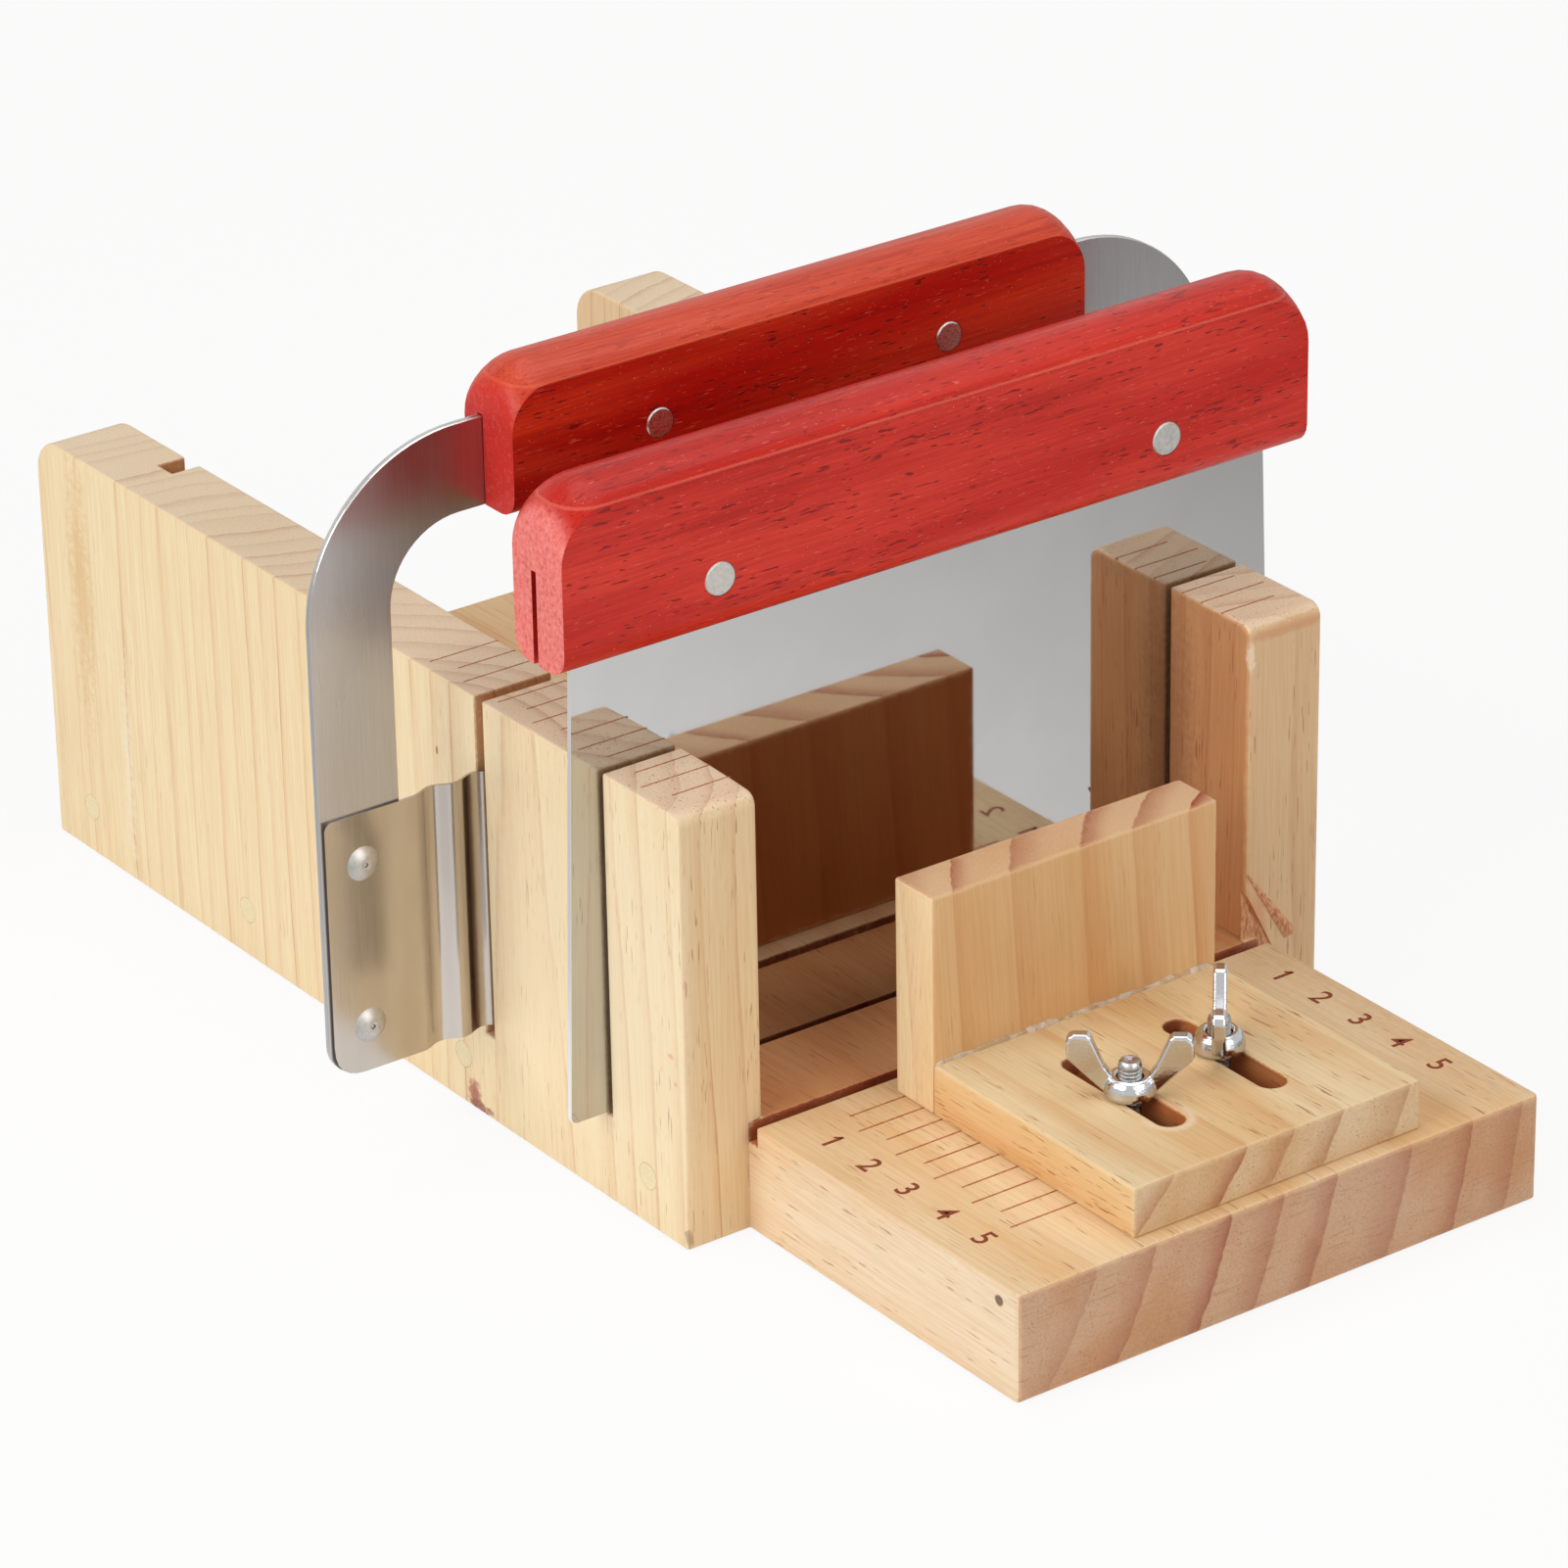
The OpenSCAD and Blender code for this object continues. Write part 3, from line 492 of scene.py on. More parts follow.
baseLook = {
    "grain": "X", "pith": (0, -92.0, 38.0), "ringGap": 12.4, "warp": 3.0, "ripple": 1.0, "lean": (0, 0.01, 0.02),
    "faceX": (208, 170, 138), "faceY": (246, 224, 192), "faceZ": (242, 217, 176),
    "cloudTint": (242, 214, 174), "lateTint": (228, 176, 122), "endTint": (200, 128, 102),
    "edgeTint": (232, 192, 148), "fleckTint": (160, 92, 56),
    "sideRings": 0.2, "endRings": 0.8, "sideLines": 0.15, "endLines": 0.4,
    "fibre": 0.3, "fleck": 0.7, "cloud": 0.8,
    # painted shade on the channel floor between the walls
    "channelShade": (frontX, (224, 186, 156)), "sawn": ((1.0, 0.12, 2.4), 0.32),
    "spots": [      # a dark knot at the ruled end, a darker patch on the top towards the right wall's side, and painted shade on the top between the front kerf and the fence
        ((box["base_board"][1].x - 4.9, box["base_board"][0].y, 16.6), (1.3, 1.5, 1.2),
         (112, 84, 66), 0.95, 0.4, 0.4),
        ((frontX + 40, 66, 19.5), (75, 26, 4), (204, 176, 142), 0.75, 0.3, 0.9),
        # painted shade on the top between the front kerf and the fence
        ((frontX + 8, 4, 19.5), (9, 52, 4), (214, 160, 110), 0.4, 0.3, 0.9),
    ],
    "slots": [slotAt(slotXs["straight"], walls["slotHalf"], 16.2, 0.9, slotShade, 0.9, 0),
              slotAt(slotXs["wavy"], walls["slotHalf"], 17.7, 0.9, slotShade, 0.9, 0),
              (frontX - 0.05, frontX + 2.2, 16.0, 0.9, (206, 128, 84), 0.9, 0)],
}
footLook = {
    "grain": "X", "pith": (0, -66.0, 62.0), "ringGap": 10.5, "warp": 5.0, "ripple": 0.9, "lean": (0, -0.01, 0.02),
    "faceX": (226, 200, 162), "faceY": (246, 216, 166), "faceZ": (238, 219, 178),
    "cloudTint": (236, 200, 150), "lateTint": (228, 178, 124), "endTint": (206, 152, 124),
    "edgeTint": (238, 210, 166), "fleckTint": (176, 112, 66),
    "sideRings": 0.45, "endRings": 0.9, "sideLines": 0.1, "endLines": 0.4,
    "fibre": 0.26, "fleck": 0.9, "cloud": 0.7,
    "sawn": ((1.0, 0.9, 2.2), 0.25),
}
fenceLook = {
    "grain": "Z", "pith": (128.0, 66.0, 0), "ringGap": 9.4, "warp": 5.0, "ripple": 1.0, "lean": (0.07, 0.0, 0),
    "faceX": (230, 192, 142), "faceY": (252, 232, 190), "faceZ": (224, 190, 148),
    "cloudTint": (242, 214, 174), "lateTint": (230, 182, 132), "endTint": (186, 92, 56),
    "edgeTint": (232, 196, 150), "fleckTint": (184, 116, 70),
    "sideRings": 0.5, "endRings": 1.0, "sideLines": 0.2, "endLines": 0.6,
    "fibre": 0.2, "fleck": 0.25, "cloud": 0.5,
    # painted shade on the fence's back, which faces into the channel
    "channelShade": (box["stop_fence"][0].x + 0.2, (218, 166, 118)),
}

pines = {node: makePine(name, node, look) for name, node, look in (
    ("basePine", "base_board", baseLook), ("leftWallPine", "left_wall", wallLook(-1)),
    ("rightWallPine", "right_wall", wallLook(1)), ("fencePine", "stop_fence", fenceLook),
    ("footPine", "stop_foot", footLook))}

footSlots = {
    "inset": 11.2, "long": 28.6, "wide": 5.2, "apart": 21.0,
    "rim": (2.5, 2.85), "hole": 2.64, "rimShade": (206, 148, 108),      # scorched, from the middle line
    "ring": (2.8, 3.5, 3.6, 5.0), "ringFrom": (8.0, 11.5), "ringShade": (248, 232, 206),
}

def addFootSlots(material):  # scorched slots in the foot, and a worn ring at the front end of the left one
    shader = material.node_tree.nodes["Principled BSDF"]
    colour = shader.inputs["Base Color"].links[0].from_socket
    place = objectMillimetres(shader)[0]
    low, high = box["stop_foot"]
    middle = (low.y + high.y) / 2
    parts = split(place)
    across = minus(absolute(minus(parts[1], middle)), footSlots["apart"] / 2)
    start = minus(parts[0], low.x + footSlots["inset"] + footSlots["long"] / 2)
    along = larger(minus(absolute(start), (footSlots["long"] - footSlots["wide"]) / 2), 0.0)
    away = maths("SQRT", plus(times(across, across), times(along, along)))
    fur = times(minus(noiseOf(place, 1.3, 3.0, 0.7), 0.5), 0.9)
    worn = plus(away, fur)
    inFrom, inTo, outFrom, outTo = footSlots["ring"]
    band = times(fade(worn, inFrom, inTo), fade(worn, outFrom, outTo, 1.0, 0.0))
    front = times(fade(start, *footSlots["ringFrom"]), maths("LESS_THAN", parts[1], middle))
    colour = painted(colour, times(band, front, 0.5), footSlots["ringShade"])
    rim = larger(fade(worn, *footSlots["rim"], 1.0, 0.0),
                 maths("LESS_THAN", away, footSlots["hole"]))
    feed(shader, "Base Color", stained(colour, times(rim, 0.9), footSlots["rimShade"]))

addFootSlots(pines["stop_foot"])

redWood = {
    "band": (206, 140, 140), "streak": (214, 160, 158), "endPale": (246, 160, 156), "endDark": (190, 52, 50),
    "bead": (238, 150, 140), "edgeHighlightDown": 3.2,      # how far under the top the painted highlight along the edge runs
}

def makeRedWood(name, look):
    material, shader = newMaterial(name, Roughness=0.34, Coat_Roughness=0.22, Coat_Weight=0.06,
                                   Specular_IOR_Level=0.26)
    place, normal = objectMillimetres(shader)
    wood = woodPattern(look, place)
    parts = split(normal)
    crown = fade(parts[2], 0.3, 0.8)
    ends = fade(absolute(parts[1]), 0.7, 0.95)
    sides = minus(1.0, ends)
    wave = noiseOf(place, (0.06, 0.012, 0.09), 2.0)
    colour = between(fade(wave, 0.36, 0.64), look["deep"], look["bright"])
    # painted light and shade on the crown: its upward faces get a colour of their own, lighter on the rear handle,
    # darker on the front
    colour = painted(colour, times(crown, look["crownShare"]), look["crown"])
    band = fade(noiseOf(place, (0.4, 0.02, 0.55), 3.0, 0.6), 0.5, 0.68)
    colour = stained(colour, times(band, sides, 0.4), redWood["band"])
    streak = fade(wood["Fibre"], 0.4, 0.62, 1.0, 0.0)
    colour = stained(colour, times(streak, 0.4), redWood["streak"])
    colour = painted(colour, times(ends, 0.8), look["ends"])
    grains = noiseOf(place, (1.3, 1.0, 1.1), 4.0, 0.7)
    pale = fade(grains, 0.5, 0.64, 0.0, 0.35 * look["endGrain"])
    dark = fade(grains, 0.36, 0.48, 0.3 * look["endGrain"], 0.0)
    colour = painted(colour, times(ends, pale), redWood["endPale"])
    colour = painted(colour, times(ends, dark), redWood["endDark"])
    crowd = fade(noiseOf(place, (0.22, 0.03, 0.26), 2.0), 0.44, 0.6, -0.05, 0.015)
    pore = noiseOf(place, (1.8, 0.3, 2.0), 1.5, 0.5)
    dash = times(fade(plus(pore, crowd), 0.63, 0.66), sides)
    dash = times(dash, fade(crown, 0, 1, 1.0, look["crownPores"], smooth=False))
    colour = painted(colour, times(dash, 0.85), look["pore"])
    thread = movedNoise(place, (7, 3, 9), (3.0, 0.34, 3.6))
    threads = times(fade(thread, 0.7, 0.735), sides)
    colour = painted(colour, times(threads, 0.6), look["thread"])
    bead = movedNoise(place, (2, 5, 1), (3.2, 2.2, 3.2))
    colour = painted(colour, times(fade(bead, 0.755, 0.785), 0.8), redWood["bead"])
    level = absolute(minus(split(place)[2], look["rim"]))
    rim = fade(plus(level, times(bead, 0.3)), 0.2, 0.5, 0.5, 0.0)     # painted highlight along the crisp edge under the crown
    feed(shader, "Base Color", painted(colour, times(rim, sides), look["thread"]))
    dull = times(ends, 0.12)
    feed(shader, "Roughness", plus(fade(wood["Fibre"], 0.3, 0.7, 0.42, 0.3), dull))
    height = minus(times(wood["Fibre"], 0.35), dash)
    addBump(shader, plus(height, times(grains, ends, 1.5)), 0.00008, 0.6)
    return material

def handleLook(node, **own):
    return {"grain": "Y", "ringGap": 3.0, "warp": 6.0, "ripple": 0.6,
            "rim": box[node][1].z - redWood["edgeHighlightDown"], **own}

frontHandleLook = handleLook(
    "straight_handle", pith=(-14.0, 0, 60.0), lean=(0.02, 0, 0.03), crownShare=0.35, crownPores=0.8,
    deep=(202, 33, 18), bright=(224, 58, 42), crown=(192, 34, 20), ends=(250, 138, 130), endGrain=1.6,
    pore=(134, 12, 10), thread=(232, 112, 92))
rearHandleLook = handleLook(
    "wavy_handle", pith=(30.0, 4.0, 40.0), lean=(0.02, 0, -0.02), crownShare=0.75, crownPores=0.35,
    deep=(192, 22, 11), bright=(222, 60, 30), crown=(218, 88, 58), ends=(206, 40, 30), endGrain=0.3,
    pore=(124, 10, 6), thread=(226, 104, 70))
redWoods = {"straight_handle": makeRedWood("frontHandleWood", frontHandleLook),
            "wavy_handle": makeRedWood("rearHandleWood", rearHandleLook)}

dowelLook = {"dots": ((240, 222, 178), (248, 234, 196)), "joint": (186, 146, 96), "jointFrom": (2.4, 2.65)}

def makeDowelWood():
    material, shader = newMaterial("dowelEndGrain", Roughness=0.6)
    place = objectMillimetres(shader)[0]
    dots = fade(noiseOf(place, 2.6, 3.0, 0.7), 0.42, 0.62)
    colour = between(dots, *dowelLook["dots"])
    nearest = None
    for x in dowelXs:
        fromMiddle = vectors("SUBTRACT", place, (x, 0, dowels["height"]))
        away = vectors("LENGTH", stretched(fromMiddle, (1, 0, 1)))
        nearest = smaller(nearest, away) if nearest else away
    joint = plus(nearest, times(noiseOf(place, 0.5, 2.0), 0.4))
    colour = painted(colour, fade(joint, *dowelLook["jointFrom"], 0.0, 0.55), dowelLook["joint"])
    feed(shader, "Base Color", colour)
    addBump(shader, dots, 0.00005, 0.4)
    return material

# One noise gives the colour, and where asked the roughness and the bumps
def makeMottled(name, grain, span, low, high, rough=None, bump=None, **settings):
    material, shader = newMaterial(name, **settings)
    mottle = noiseOf(objectMillimetres(shader)[0], *grain)
    feed(shader, "Base Color", between(fade(mottle, *span) if span else mottle, low, high))
    if rough:
        feed(shader, "Roughness", fade(mottle, 0.3, 0.7, *rough))
    if bump:
        addBump(shader, mottle, *bump)
    return material

dowelWood = makeDowelWood()
tornWood = makeMottled("tornPine", ((2.2, 2.2, 0.5), 3.0, 0.7), (0.38, 0.6), (190, 122, 80), (226, 176, 134),
                       bump=(0.0002, 0.6), Roughness=0.7)
scorch = makeMottled("scorchedMark", (1.4, 3.0, 0.7), (0.35, 0.65), (150, 76, 38), (196, 128, 80), Roughness=0.8)
deepScorch = makeMottled("scorchedDigit", (2.4, 2.0, 0.7), (0.35, 0.65), (118, 44, 18), (150, 72, 36),
                         Roughness=0.8)

print("stage: metals")

steel = {
    "polished": ((196, 195, 194), (199, 198, 196)), "groundEdgeAndHighlight": (240, 238, 234),
    "brushed": ((191, 188, 187), (201, 199, 199)), "paintedShade": (58, 44, 38),
    "sheet": ((186, 178, 170), (198, 190, 183)),
}

def makePolishedSteel():
    material, shader = newMaterial("polishedSteel", Metallic=1.0, Roughness=0.05)
    place, normal = objectMillimetres(shader)
    sideways = absolute(split(normal)[1])
    groundEdgeAndHighlight = fade(sideways, 0.4, 0.7)     # the ground edge at each end: rough, with a painted highlight that makes it a bright line
    haze = noiseOf(place, 0.06, 3.0)
    wipe = noiseOf(stretched(place, (1, 0.5, 0.03)), 1.2, 3.0, 0.6)
    colour = between(fade(haze, 0.35, 0.65), *steel["polished"])
    feed(shader, "Base Color", painted(colour, groundEdgeAndHighlight, steel["groundEdgeAndHighlight"]))
    rough = plus(fade(haze, 0.3, 0.7, 0.03, 0.036), fade(wipe, 0.4, 0.75, 0.0, 0.02))
    feed(shader, "Roughness", plus(rough, times(groundEdgeAndHighlight, 0.42)))
    return material

def makeSatinSteel():
    material, shader = newMaterial("brushedSteel", Metallic=1.0, Roughness=0.3, Anisotropic=0.7)
    around = material.node_tree.nodes.new("ShaderNodeTangent")
    around.direction_type, around.axis = "RADIAL", "Z"
    feed(shader, "Tangent", around.outputs[0])
    place, normal = objectMillimetres(shader)
    facing = maths("GREATER_THAN", split(normal)[0], 0.5)
    brush = useGroup(brushedMetal, {"Vector": place, "Pitch": 7.0})
    colour = between(fade(brush["Streak"], 0.3, 0.7), *steel["brushed"])
    parts = split(place)
    low, high = box["wavy_blade"]
    aside = minus(absolute(minus(parts[1], (low.y + high.y) / 2)), (high.y - low.y) / 2)
    outline = larger(aside, minus(parts[2], high.z))
    paintedShade = times(facing, fade(outline, 0.05, 0.55, 0.8, 0.0))      # painted shadow on the bow round the outline of the blade's flat ends
    feed(shader, "Base Color", painted(colour, paintedShade, steel["paintedShade"]))
    feed(shader, "Roughness", fade(brush["Cloud"], 0.3, 0.7, 0.27, 0.33))
    addBump(shader, brush["Height"], 0.00002, 0.12)
    return material

def makeSheetSteel():
    material, shader = newMaterial("wavySheetSteel", Metallic=1.0, Roughness=0.16)
    place = objectMillimetres(shader)[0]
    brush = useGroup(brushedMetal, {"Vector": place, "Pitch": 3.0})
    feed(shader, "Base Color", between(fade(brush["Cloud"], 0.3, 0.7), *steel["sheet"]))
    feed(shader, "Roughness", fade(brush["Streak"], 0.3, 0.7, 0.15, 0.2))
    addBump(shader, brush["Height"], 0.00001, 0.12)
    return material

def makeAluminium(name, metallic, rough, spread, shade, bump):
    pale = tuple(c + 14 for c in shade)
    return makeMottled(name, (1.5, 4.0, 0.7), (0.35, 0.65), shade, pale, rough=(rough - spread, rough + spread),
                       bump=(0.00008, bump), Metallic=metallic, Roughness=rough)

polishedSteel = makePolishedSteel()
satinSteel = makeSatinSteel()
sheetSteel = makeSheetSteel()
brightPlating = makeMottled("brightPlating", (2.2, 3.0, 0.6), None, (196, 197, 200), (214, 215, 218),
                            rough=(0.07, 0.15), bump=(0.0001, 0.3), Metallic=1.0, Roughness=0.1)
boltSteel = makeMottled("zincPlate", (1.1, 3.0, 0.6), None, (150, 150, 150), (205, 205, 204),
                        rough=(0.2, 0.4), Metallic=1.0, Roughness=0.28)
rivetMetal = makeAluminium("rivetAluminium", 0.85, 0.42, 0.12, (200, 198, 193), 0.4)
rearRivetMetal = makeAluminium("stainedRivet", 1.0, 0.28, 0.05, (214, 208, 204), 0.04)
bladeRivetMetal = makeAluminium("domedRivet", 1.0, 0.44, 0.06, (180, 177, 172), 0.05)

def makeGlue():
    material, shader = newMaterial("driedGlue", Roughness=0.22)
    cloud = noiseOf(objectMillimetres(shader)[0], 0.5, 3.0)
    feed(shader, "Base Color", between(fade(cloud, 0.35, 0.65), (232, 214, 180), (248, 240, 222)))
    feed(shader, "Alpha", fade(cloud, 0.35, 0.65, 0.3, 0.6))
    return material

driedGlue = makeGlue()

print("stage: boards, handles and blades")

def mergedCopy(node):
    bm = bmesh.new()
    bm.from_mesh(nodes[node].data)
    bmesh.ops.remove_doubles(bm, verts=bm.verts, dist=2e-6)
    bmesh.ops.dissolve_limit(bm, angle_limit=math.radians(0.8), verts=bm.verts, edges=bm.edges)
    return bm

def vertsIn(geometry):
    return [g for g in geometry if isinstance(g, bmesh.types.BMVert)]

def easeEdges(bm, width, segments=2, angle=30, skip=None, only=None):
    chosen = []
    for edge in bm.edges:
        if len(edge.link_faces) != 2 or edge.calc_face_angle_signed(0) < math.radians(angle):
            continue
        a, b = (v.co * 1000 for v in edge.verts)
        if skip and (skip(a) and skip(b)):
            continue
        if only and not (only(a) and only(b)):
            continue
        chosen.append(edge)
    bmesh.ops.bevel(bm, geom=chosen, offset=width * mm, offset_type="OFFSET", segments=segments, profile=0.5,
                    affect="EDGES", material=-1, clamp_overlap=False)

def standIn(bm, name, node, body, material, smoothAngle=None):
    piece = finishPiece(bm, name, material, smoothAngle)
    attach(piece, body)
    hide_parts(node)
    return piece

boardEase = {
    "base": 0.35, "baseEnd": 0.9, "wall": 0.4, "post": 1.15, "stop": 0.45,
    "near": 0.05,           # what still counts as lying on a face
    "postFoot": 19.4, "postTop": 75.7, "postDeep": 2.55,    # where the post's rounded corner runs
}

def nearDowel(p):
    onFace = min(abs(abs(p.y) - walls[face]) for face in ("outer", "housing")) < 0.2
    return onFace and any(math.hypot(p.x - x, p.z - dowels["height"]) < dowels["clear"] for x in dowelXs)

def makeWall(side):
    node = "left_wall" if side < 0 else "right_wall"
    bm = mergedCopy(node)
    near = boardEase["near"]

    def onCorner(p):
        onTop = p.x > frontX - boardEase["postDeep"] and p.z > boardEase["postTop"]
        onPost = abs(p.y - walls["inner"] * side) < near and p.z > boardEase["postFoot"]
        return onPost and (abs(p.x - frontX) < near or onTop)

    def inJoint(p):
        return nearDowel(p) or abs(p.y - walls["housing"] * side) < near or p.z < 0.1 and abs(p.y) < 66

    easeEdges(bm, boardEase["post"], 4, angle=12, only=onCorner)
    easeEdges(bm, boardEase["wall"], 2, skip=inJoint)
    return standIn(bm, node.replace("_wall", "Wall"), node, "box", pines[node])

def makeBase():
    bm = mergedCopy("base_board")
    high = box["base_board"][1]
    near = boardEase["near"]
    easeEdges(bm, boardEase["baseEnd"], 4, only=lambda p: p.x > high.x - near and abs(p.y) > high.y - near)
    easeEdges(bm, boardEase["base"], 2, skip=lambda p: nearDowel(p) or p.z < 5 and abs(p.y) < 50)
    standIn(bm, "baseBoard", "base_board", "box", pines["base_board"])

def makeStopBoard(node, name):
    bm = mergedCopy(node)
    easeEdges(bm, boardEase["stop"], 2)
    standIn(bm, name, node, "stop", pines[node])

chip = {
    "top": (50.2, 31.6), "foot": (57.2, 15.6), "deep": 1.5,     # Y and Z of its corners
    "over": 1, "backShare": 0.12, "cuts": 5, "ragged": 0.3,
    "tornY": (50, 58), "tornX": (2.6, 0.04),        # faces behind the front that show torn wood
    "sliver": ((50.9, 32.1), (60.2, 18.4)), "sliverWide": 1.25, "sliverTip": 0.2, "sliverFlat": 0.7,
}

def cutChip(wall):  # the wall's mesh with a torn corner at the foot of the post
    (topY, topZ), (footY, footZ), over = chip["top"], chip["foot"], chip["over"]
    bm = bmesh.new()
    corner = [(topY - over, topZ), (footY, footZ), (topY - over, footZ)]
    bm.faces.new([bm.verts.new(Vector((frontX + over, y, z)) * mm) for y, z in corner])
    back = bmesh.ops.extrude_face_region(bm, geom=bm.faces[:])["geom"]
    for v in vertsIn(back):
        v.co.x -= (over + chip["deep"] * (chip["backShare"] if v.co.y > topY * mm else 1.0)) * mm
    bmesh.ops.subdivide_edges(bm, edges=bm.edges[:], cuts=chip["cuts"], use_grid_fill=True)
    for v in bm.verts:
        if v.co.x < (frontX + 0.9) * mm:
            v.co.x += chip["ragged"] * mm * noise.noise(Vector((0, v.co.y * 1400, v.co.z * 160)))
    bmesh.ops.recalc_face_normals(bm, faces=bm.faces)
    cutter = finishPiece(bm, "chipCutter")
    cut = wall.modifiers.new("chip", "BOOLEAN")
    cut.operation, cut.object, cut.solver = "DIFFERENCE", cutter, "EXACT"
    bm = bmesh.new()
    bm.from_object(wall, bpy.context.evaluated_depsgraph_get())
    wall.modifiers.clear()
    bpy.data.objects.remove(cutter)
    return bm

def chipPost(wall):  # the chip, and the sliver that lifted beside it
    bm = cutChip(wall)
    (nearY, farY), (deepX, shallowX) = chip["tornY"], chip["tornX"]
    for face in bm.faces:
        middle = face.calc_center_median() / mm
        inChip = nearY < middle.y < farY and chip["foot"][1] < middle.z < chip["top"][1]
        if inChip and frontX - deepX < middle.x < frontX - shallowX and abs(face.normal.x) > 0.5:
            face.material_index = 1
    (startY, startZ), (endY, endZ) = chip["sliver"]
    way = Vector((0, endY - startY, endZ - startZ))
    wide = chip["sliverWide"]
    made = bmesh.ops.create_cone(bm, cap_ends=True, segments=5, radius1=wide * chip["sliverTip"] * mm,
                                 radius2=wide * mm, depth=way.length * mm)["verts"]
    bmesh.ops.rotate(bm, verts=made, cent=(0, 0, 0), matrix=way.to_track_quat("Z", "X").to_matrix())
    bmesh.ops.scale(bm, verts=made, vec=(chip["sliverFlat"], 1, 1))
    for face in {f for v in made for f in v.link_faces}:
        face.material_index = 1
    bmesh.ops.translate(bm, verts=made, vec=Vector((frontX, (startY + endY) / 2, (startZ + endZ) / 2)) * mm)
    bm.to_mesh(wall.data)
    bm.free()
    wall.data.materials.append(tornWood)

makeWall(-1)
chipPost(makeWall(1))
makeBase()
makeStopBoard("stop_foot", "stopFoot")
makeStopBoard("stop_fence", "stopFence")

def makeHandle(node, name, body):
    bm = mergedCopy(node)
    standIn(bm, name, node, body, redWoods[node], smoothAngle=24)

makeHandle("straight_handle", "straightHandle", "straight_cutter")
makeHandle("wavy_handle", "wavyHandle", "wavy_cutter")

def makeStraightBlade():
    bm = mergedCopy("straight_blade")
    top = box["straight_handle"][0].z
    easeEdges(bm, 0.12, 2, skip=lambda p: p.z > top)
    standIn(bm, "straightBlade", "straight_blade", "straight_cutter", polishedSteel)

def makeWavyBlade():
    bm = mergedCopy("wavy_blade")
    standIn(bm, "wavyBlade", "wavy_blade", "wavy_cutter", sheetSteel, smoothAngle=40)

bow = {"middleY": -5.2, "handleHalf": 55, "ease": 0.2}

def makeBow():
    bm = mergedCopy("wavy_bow")
    slit = box["wavy_handle"][0].z
    easeEdges(bm, bow["ease"], 2, skip=lambda p: p.z > slit and abs(p.y - bow["middleY"]) < bow["handleHalf"])
    standIn(bm, "wavyBow", "wavy_bow", "wavy_cutter", satinSteel)

makeStraightBlade()
makeWavyBlade()
makeBow()

print("stage: rivets, bolts and nuts")

rivet = {"head": 3.05, "rise": 1.1, "dimple": 0.42, "crownAt": (1, 0.97, 0.9, 0.75, 0.55, 0.38),
         "neck": 1.8, "tail": 2.7, "stack": 1.7, "tailRise": 0.7}

def spinProfile(profile, steps=40):  # full turn of a radius and height list about Z
    bm = bmesh.new()
    verts = [bm.verts.new((r * mm, 0, z * mm)) for r, z in profile]
    edges = [bm.edges.new(pair) for pair in zip(verts, verts[1:])]
    bmesh.ops.spin(bm, geom=verts + edges, cent=(0, 0, 0), axis=(0, 0, 1), angle=math.tau, steps=steps,
                   use_merge=True)
    bmesh.ops.remove_doubles(bm, verts=bm.verts, dist=1e-6)
    bmesh.ops.recalc_face_normals(bm, faces=bm.faces)
    return bm

def makeBladeRivet(node, name):
    low, high = box[node]
    r, h, d, neck, tail = (rivet[k] for k in ("head", "rise", "dimple", "neck", "tail"))
    dome = (r * r + h * h) / (2 * h)
    crownAt = [r * share for share in rivet["crownAt"]] + [d + 0.15]
    under, end = -rivet["stack"], -rivet["stack"] - rivet["tailRise"]
    profile = [(0, end), (tail - 0.5, end), (tail, under - 0.1), (neck, under), (neck, 0)]
    profile += [(x, h - dome + math.sqrt(dome * dome - x * x)) for x in crownAt]
    profile += [(d, h - 0.1), (d * 0.8, h - 0.55), (0, h - 0.7)]
    bm = spinProfile(profile)
    middle = (low + high) / 2
    place = Matrix.Translation(Vector((high.x - h, middle.y, middle.z)) * mm)
    bmesh.ops.transform(bm, verts=bm.verts, matrix=place @ Matrix.Rotation(math.radians(90), 4, "Y"))
    standIn(bm, name, node, "wavy_cutter", bladeRivetMetal, smoothAngle=35)

for side in ("left", "right"):
    for level in ("upper", "lower"):
        makeBladeRivet(f"{side}_{level}_blade_rivet", f"{side}{level.title()}BladeRivet")

bolt = {"radius": 2.0, "headR": 4.0, "headEase": 0.4, "headRise": 2.6, "threadFrom": 20.0, "pitch": 0.7,
        "core": 1.58, "rootFrom": 0.3, "rootTo": 0.38, "crestFrom": 0.6, "crestWorn": 0.02, "tip": 0.7}

def makeBolt(node, name):
    low, high = box[node]
    middle = (low + high) / 2
    r, head, ease, core, pitch = (bolt[k] for k in ("radius", "headR", "headEase", "core", "pitch"))
    crest, shoulder, z, top = r - bolt["crestWorn"], low.z + bolt["headRise"], bolt["threadFrom"], high.z
    profile = [(0, low.z), (head - ease, low.z), (head, low.z + ease), (head, shoulder), (r, shoulder), (r, z)]
    while z + pitch < top - bolt["tip"]:      # ring for ring, the thread
        profile += [(core, z + bolt["rootFrom"]), (core, z + bolt["rootTo"]),
                    (crest, z + bolt["crestFrom"]), (crest, z + pitch)]
        z += pitch
    profile += [(core + 0.2, top - 0.25), (core, top), (core - 0.35, top), (0.5, top - 0.35), (0, top - 0.38)]
    bm = spinProfile(profile, 48)
    bmesh.ops.translate(bm, verts=bm.verts, vec=Vector((middle.x, middle.y, 0)) * mm)
    standIn(bm, name, node, "box", boltSteel, smoothAngle=28)

for side in ("left", "right"):
    makeBolt(f"{side}_stop_bolt", f"{side}StopBolt")

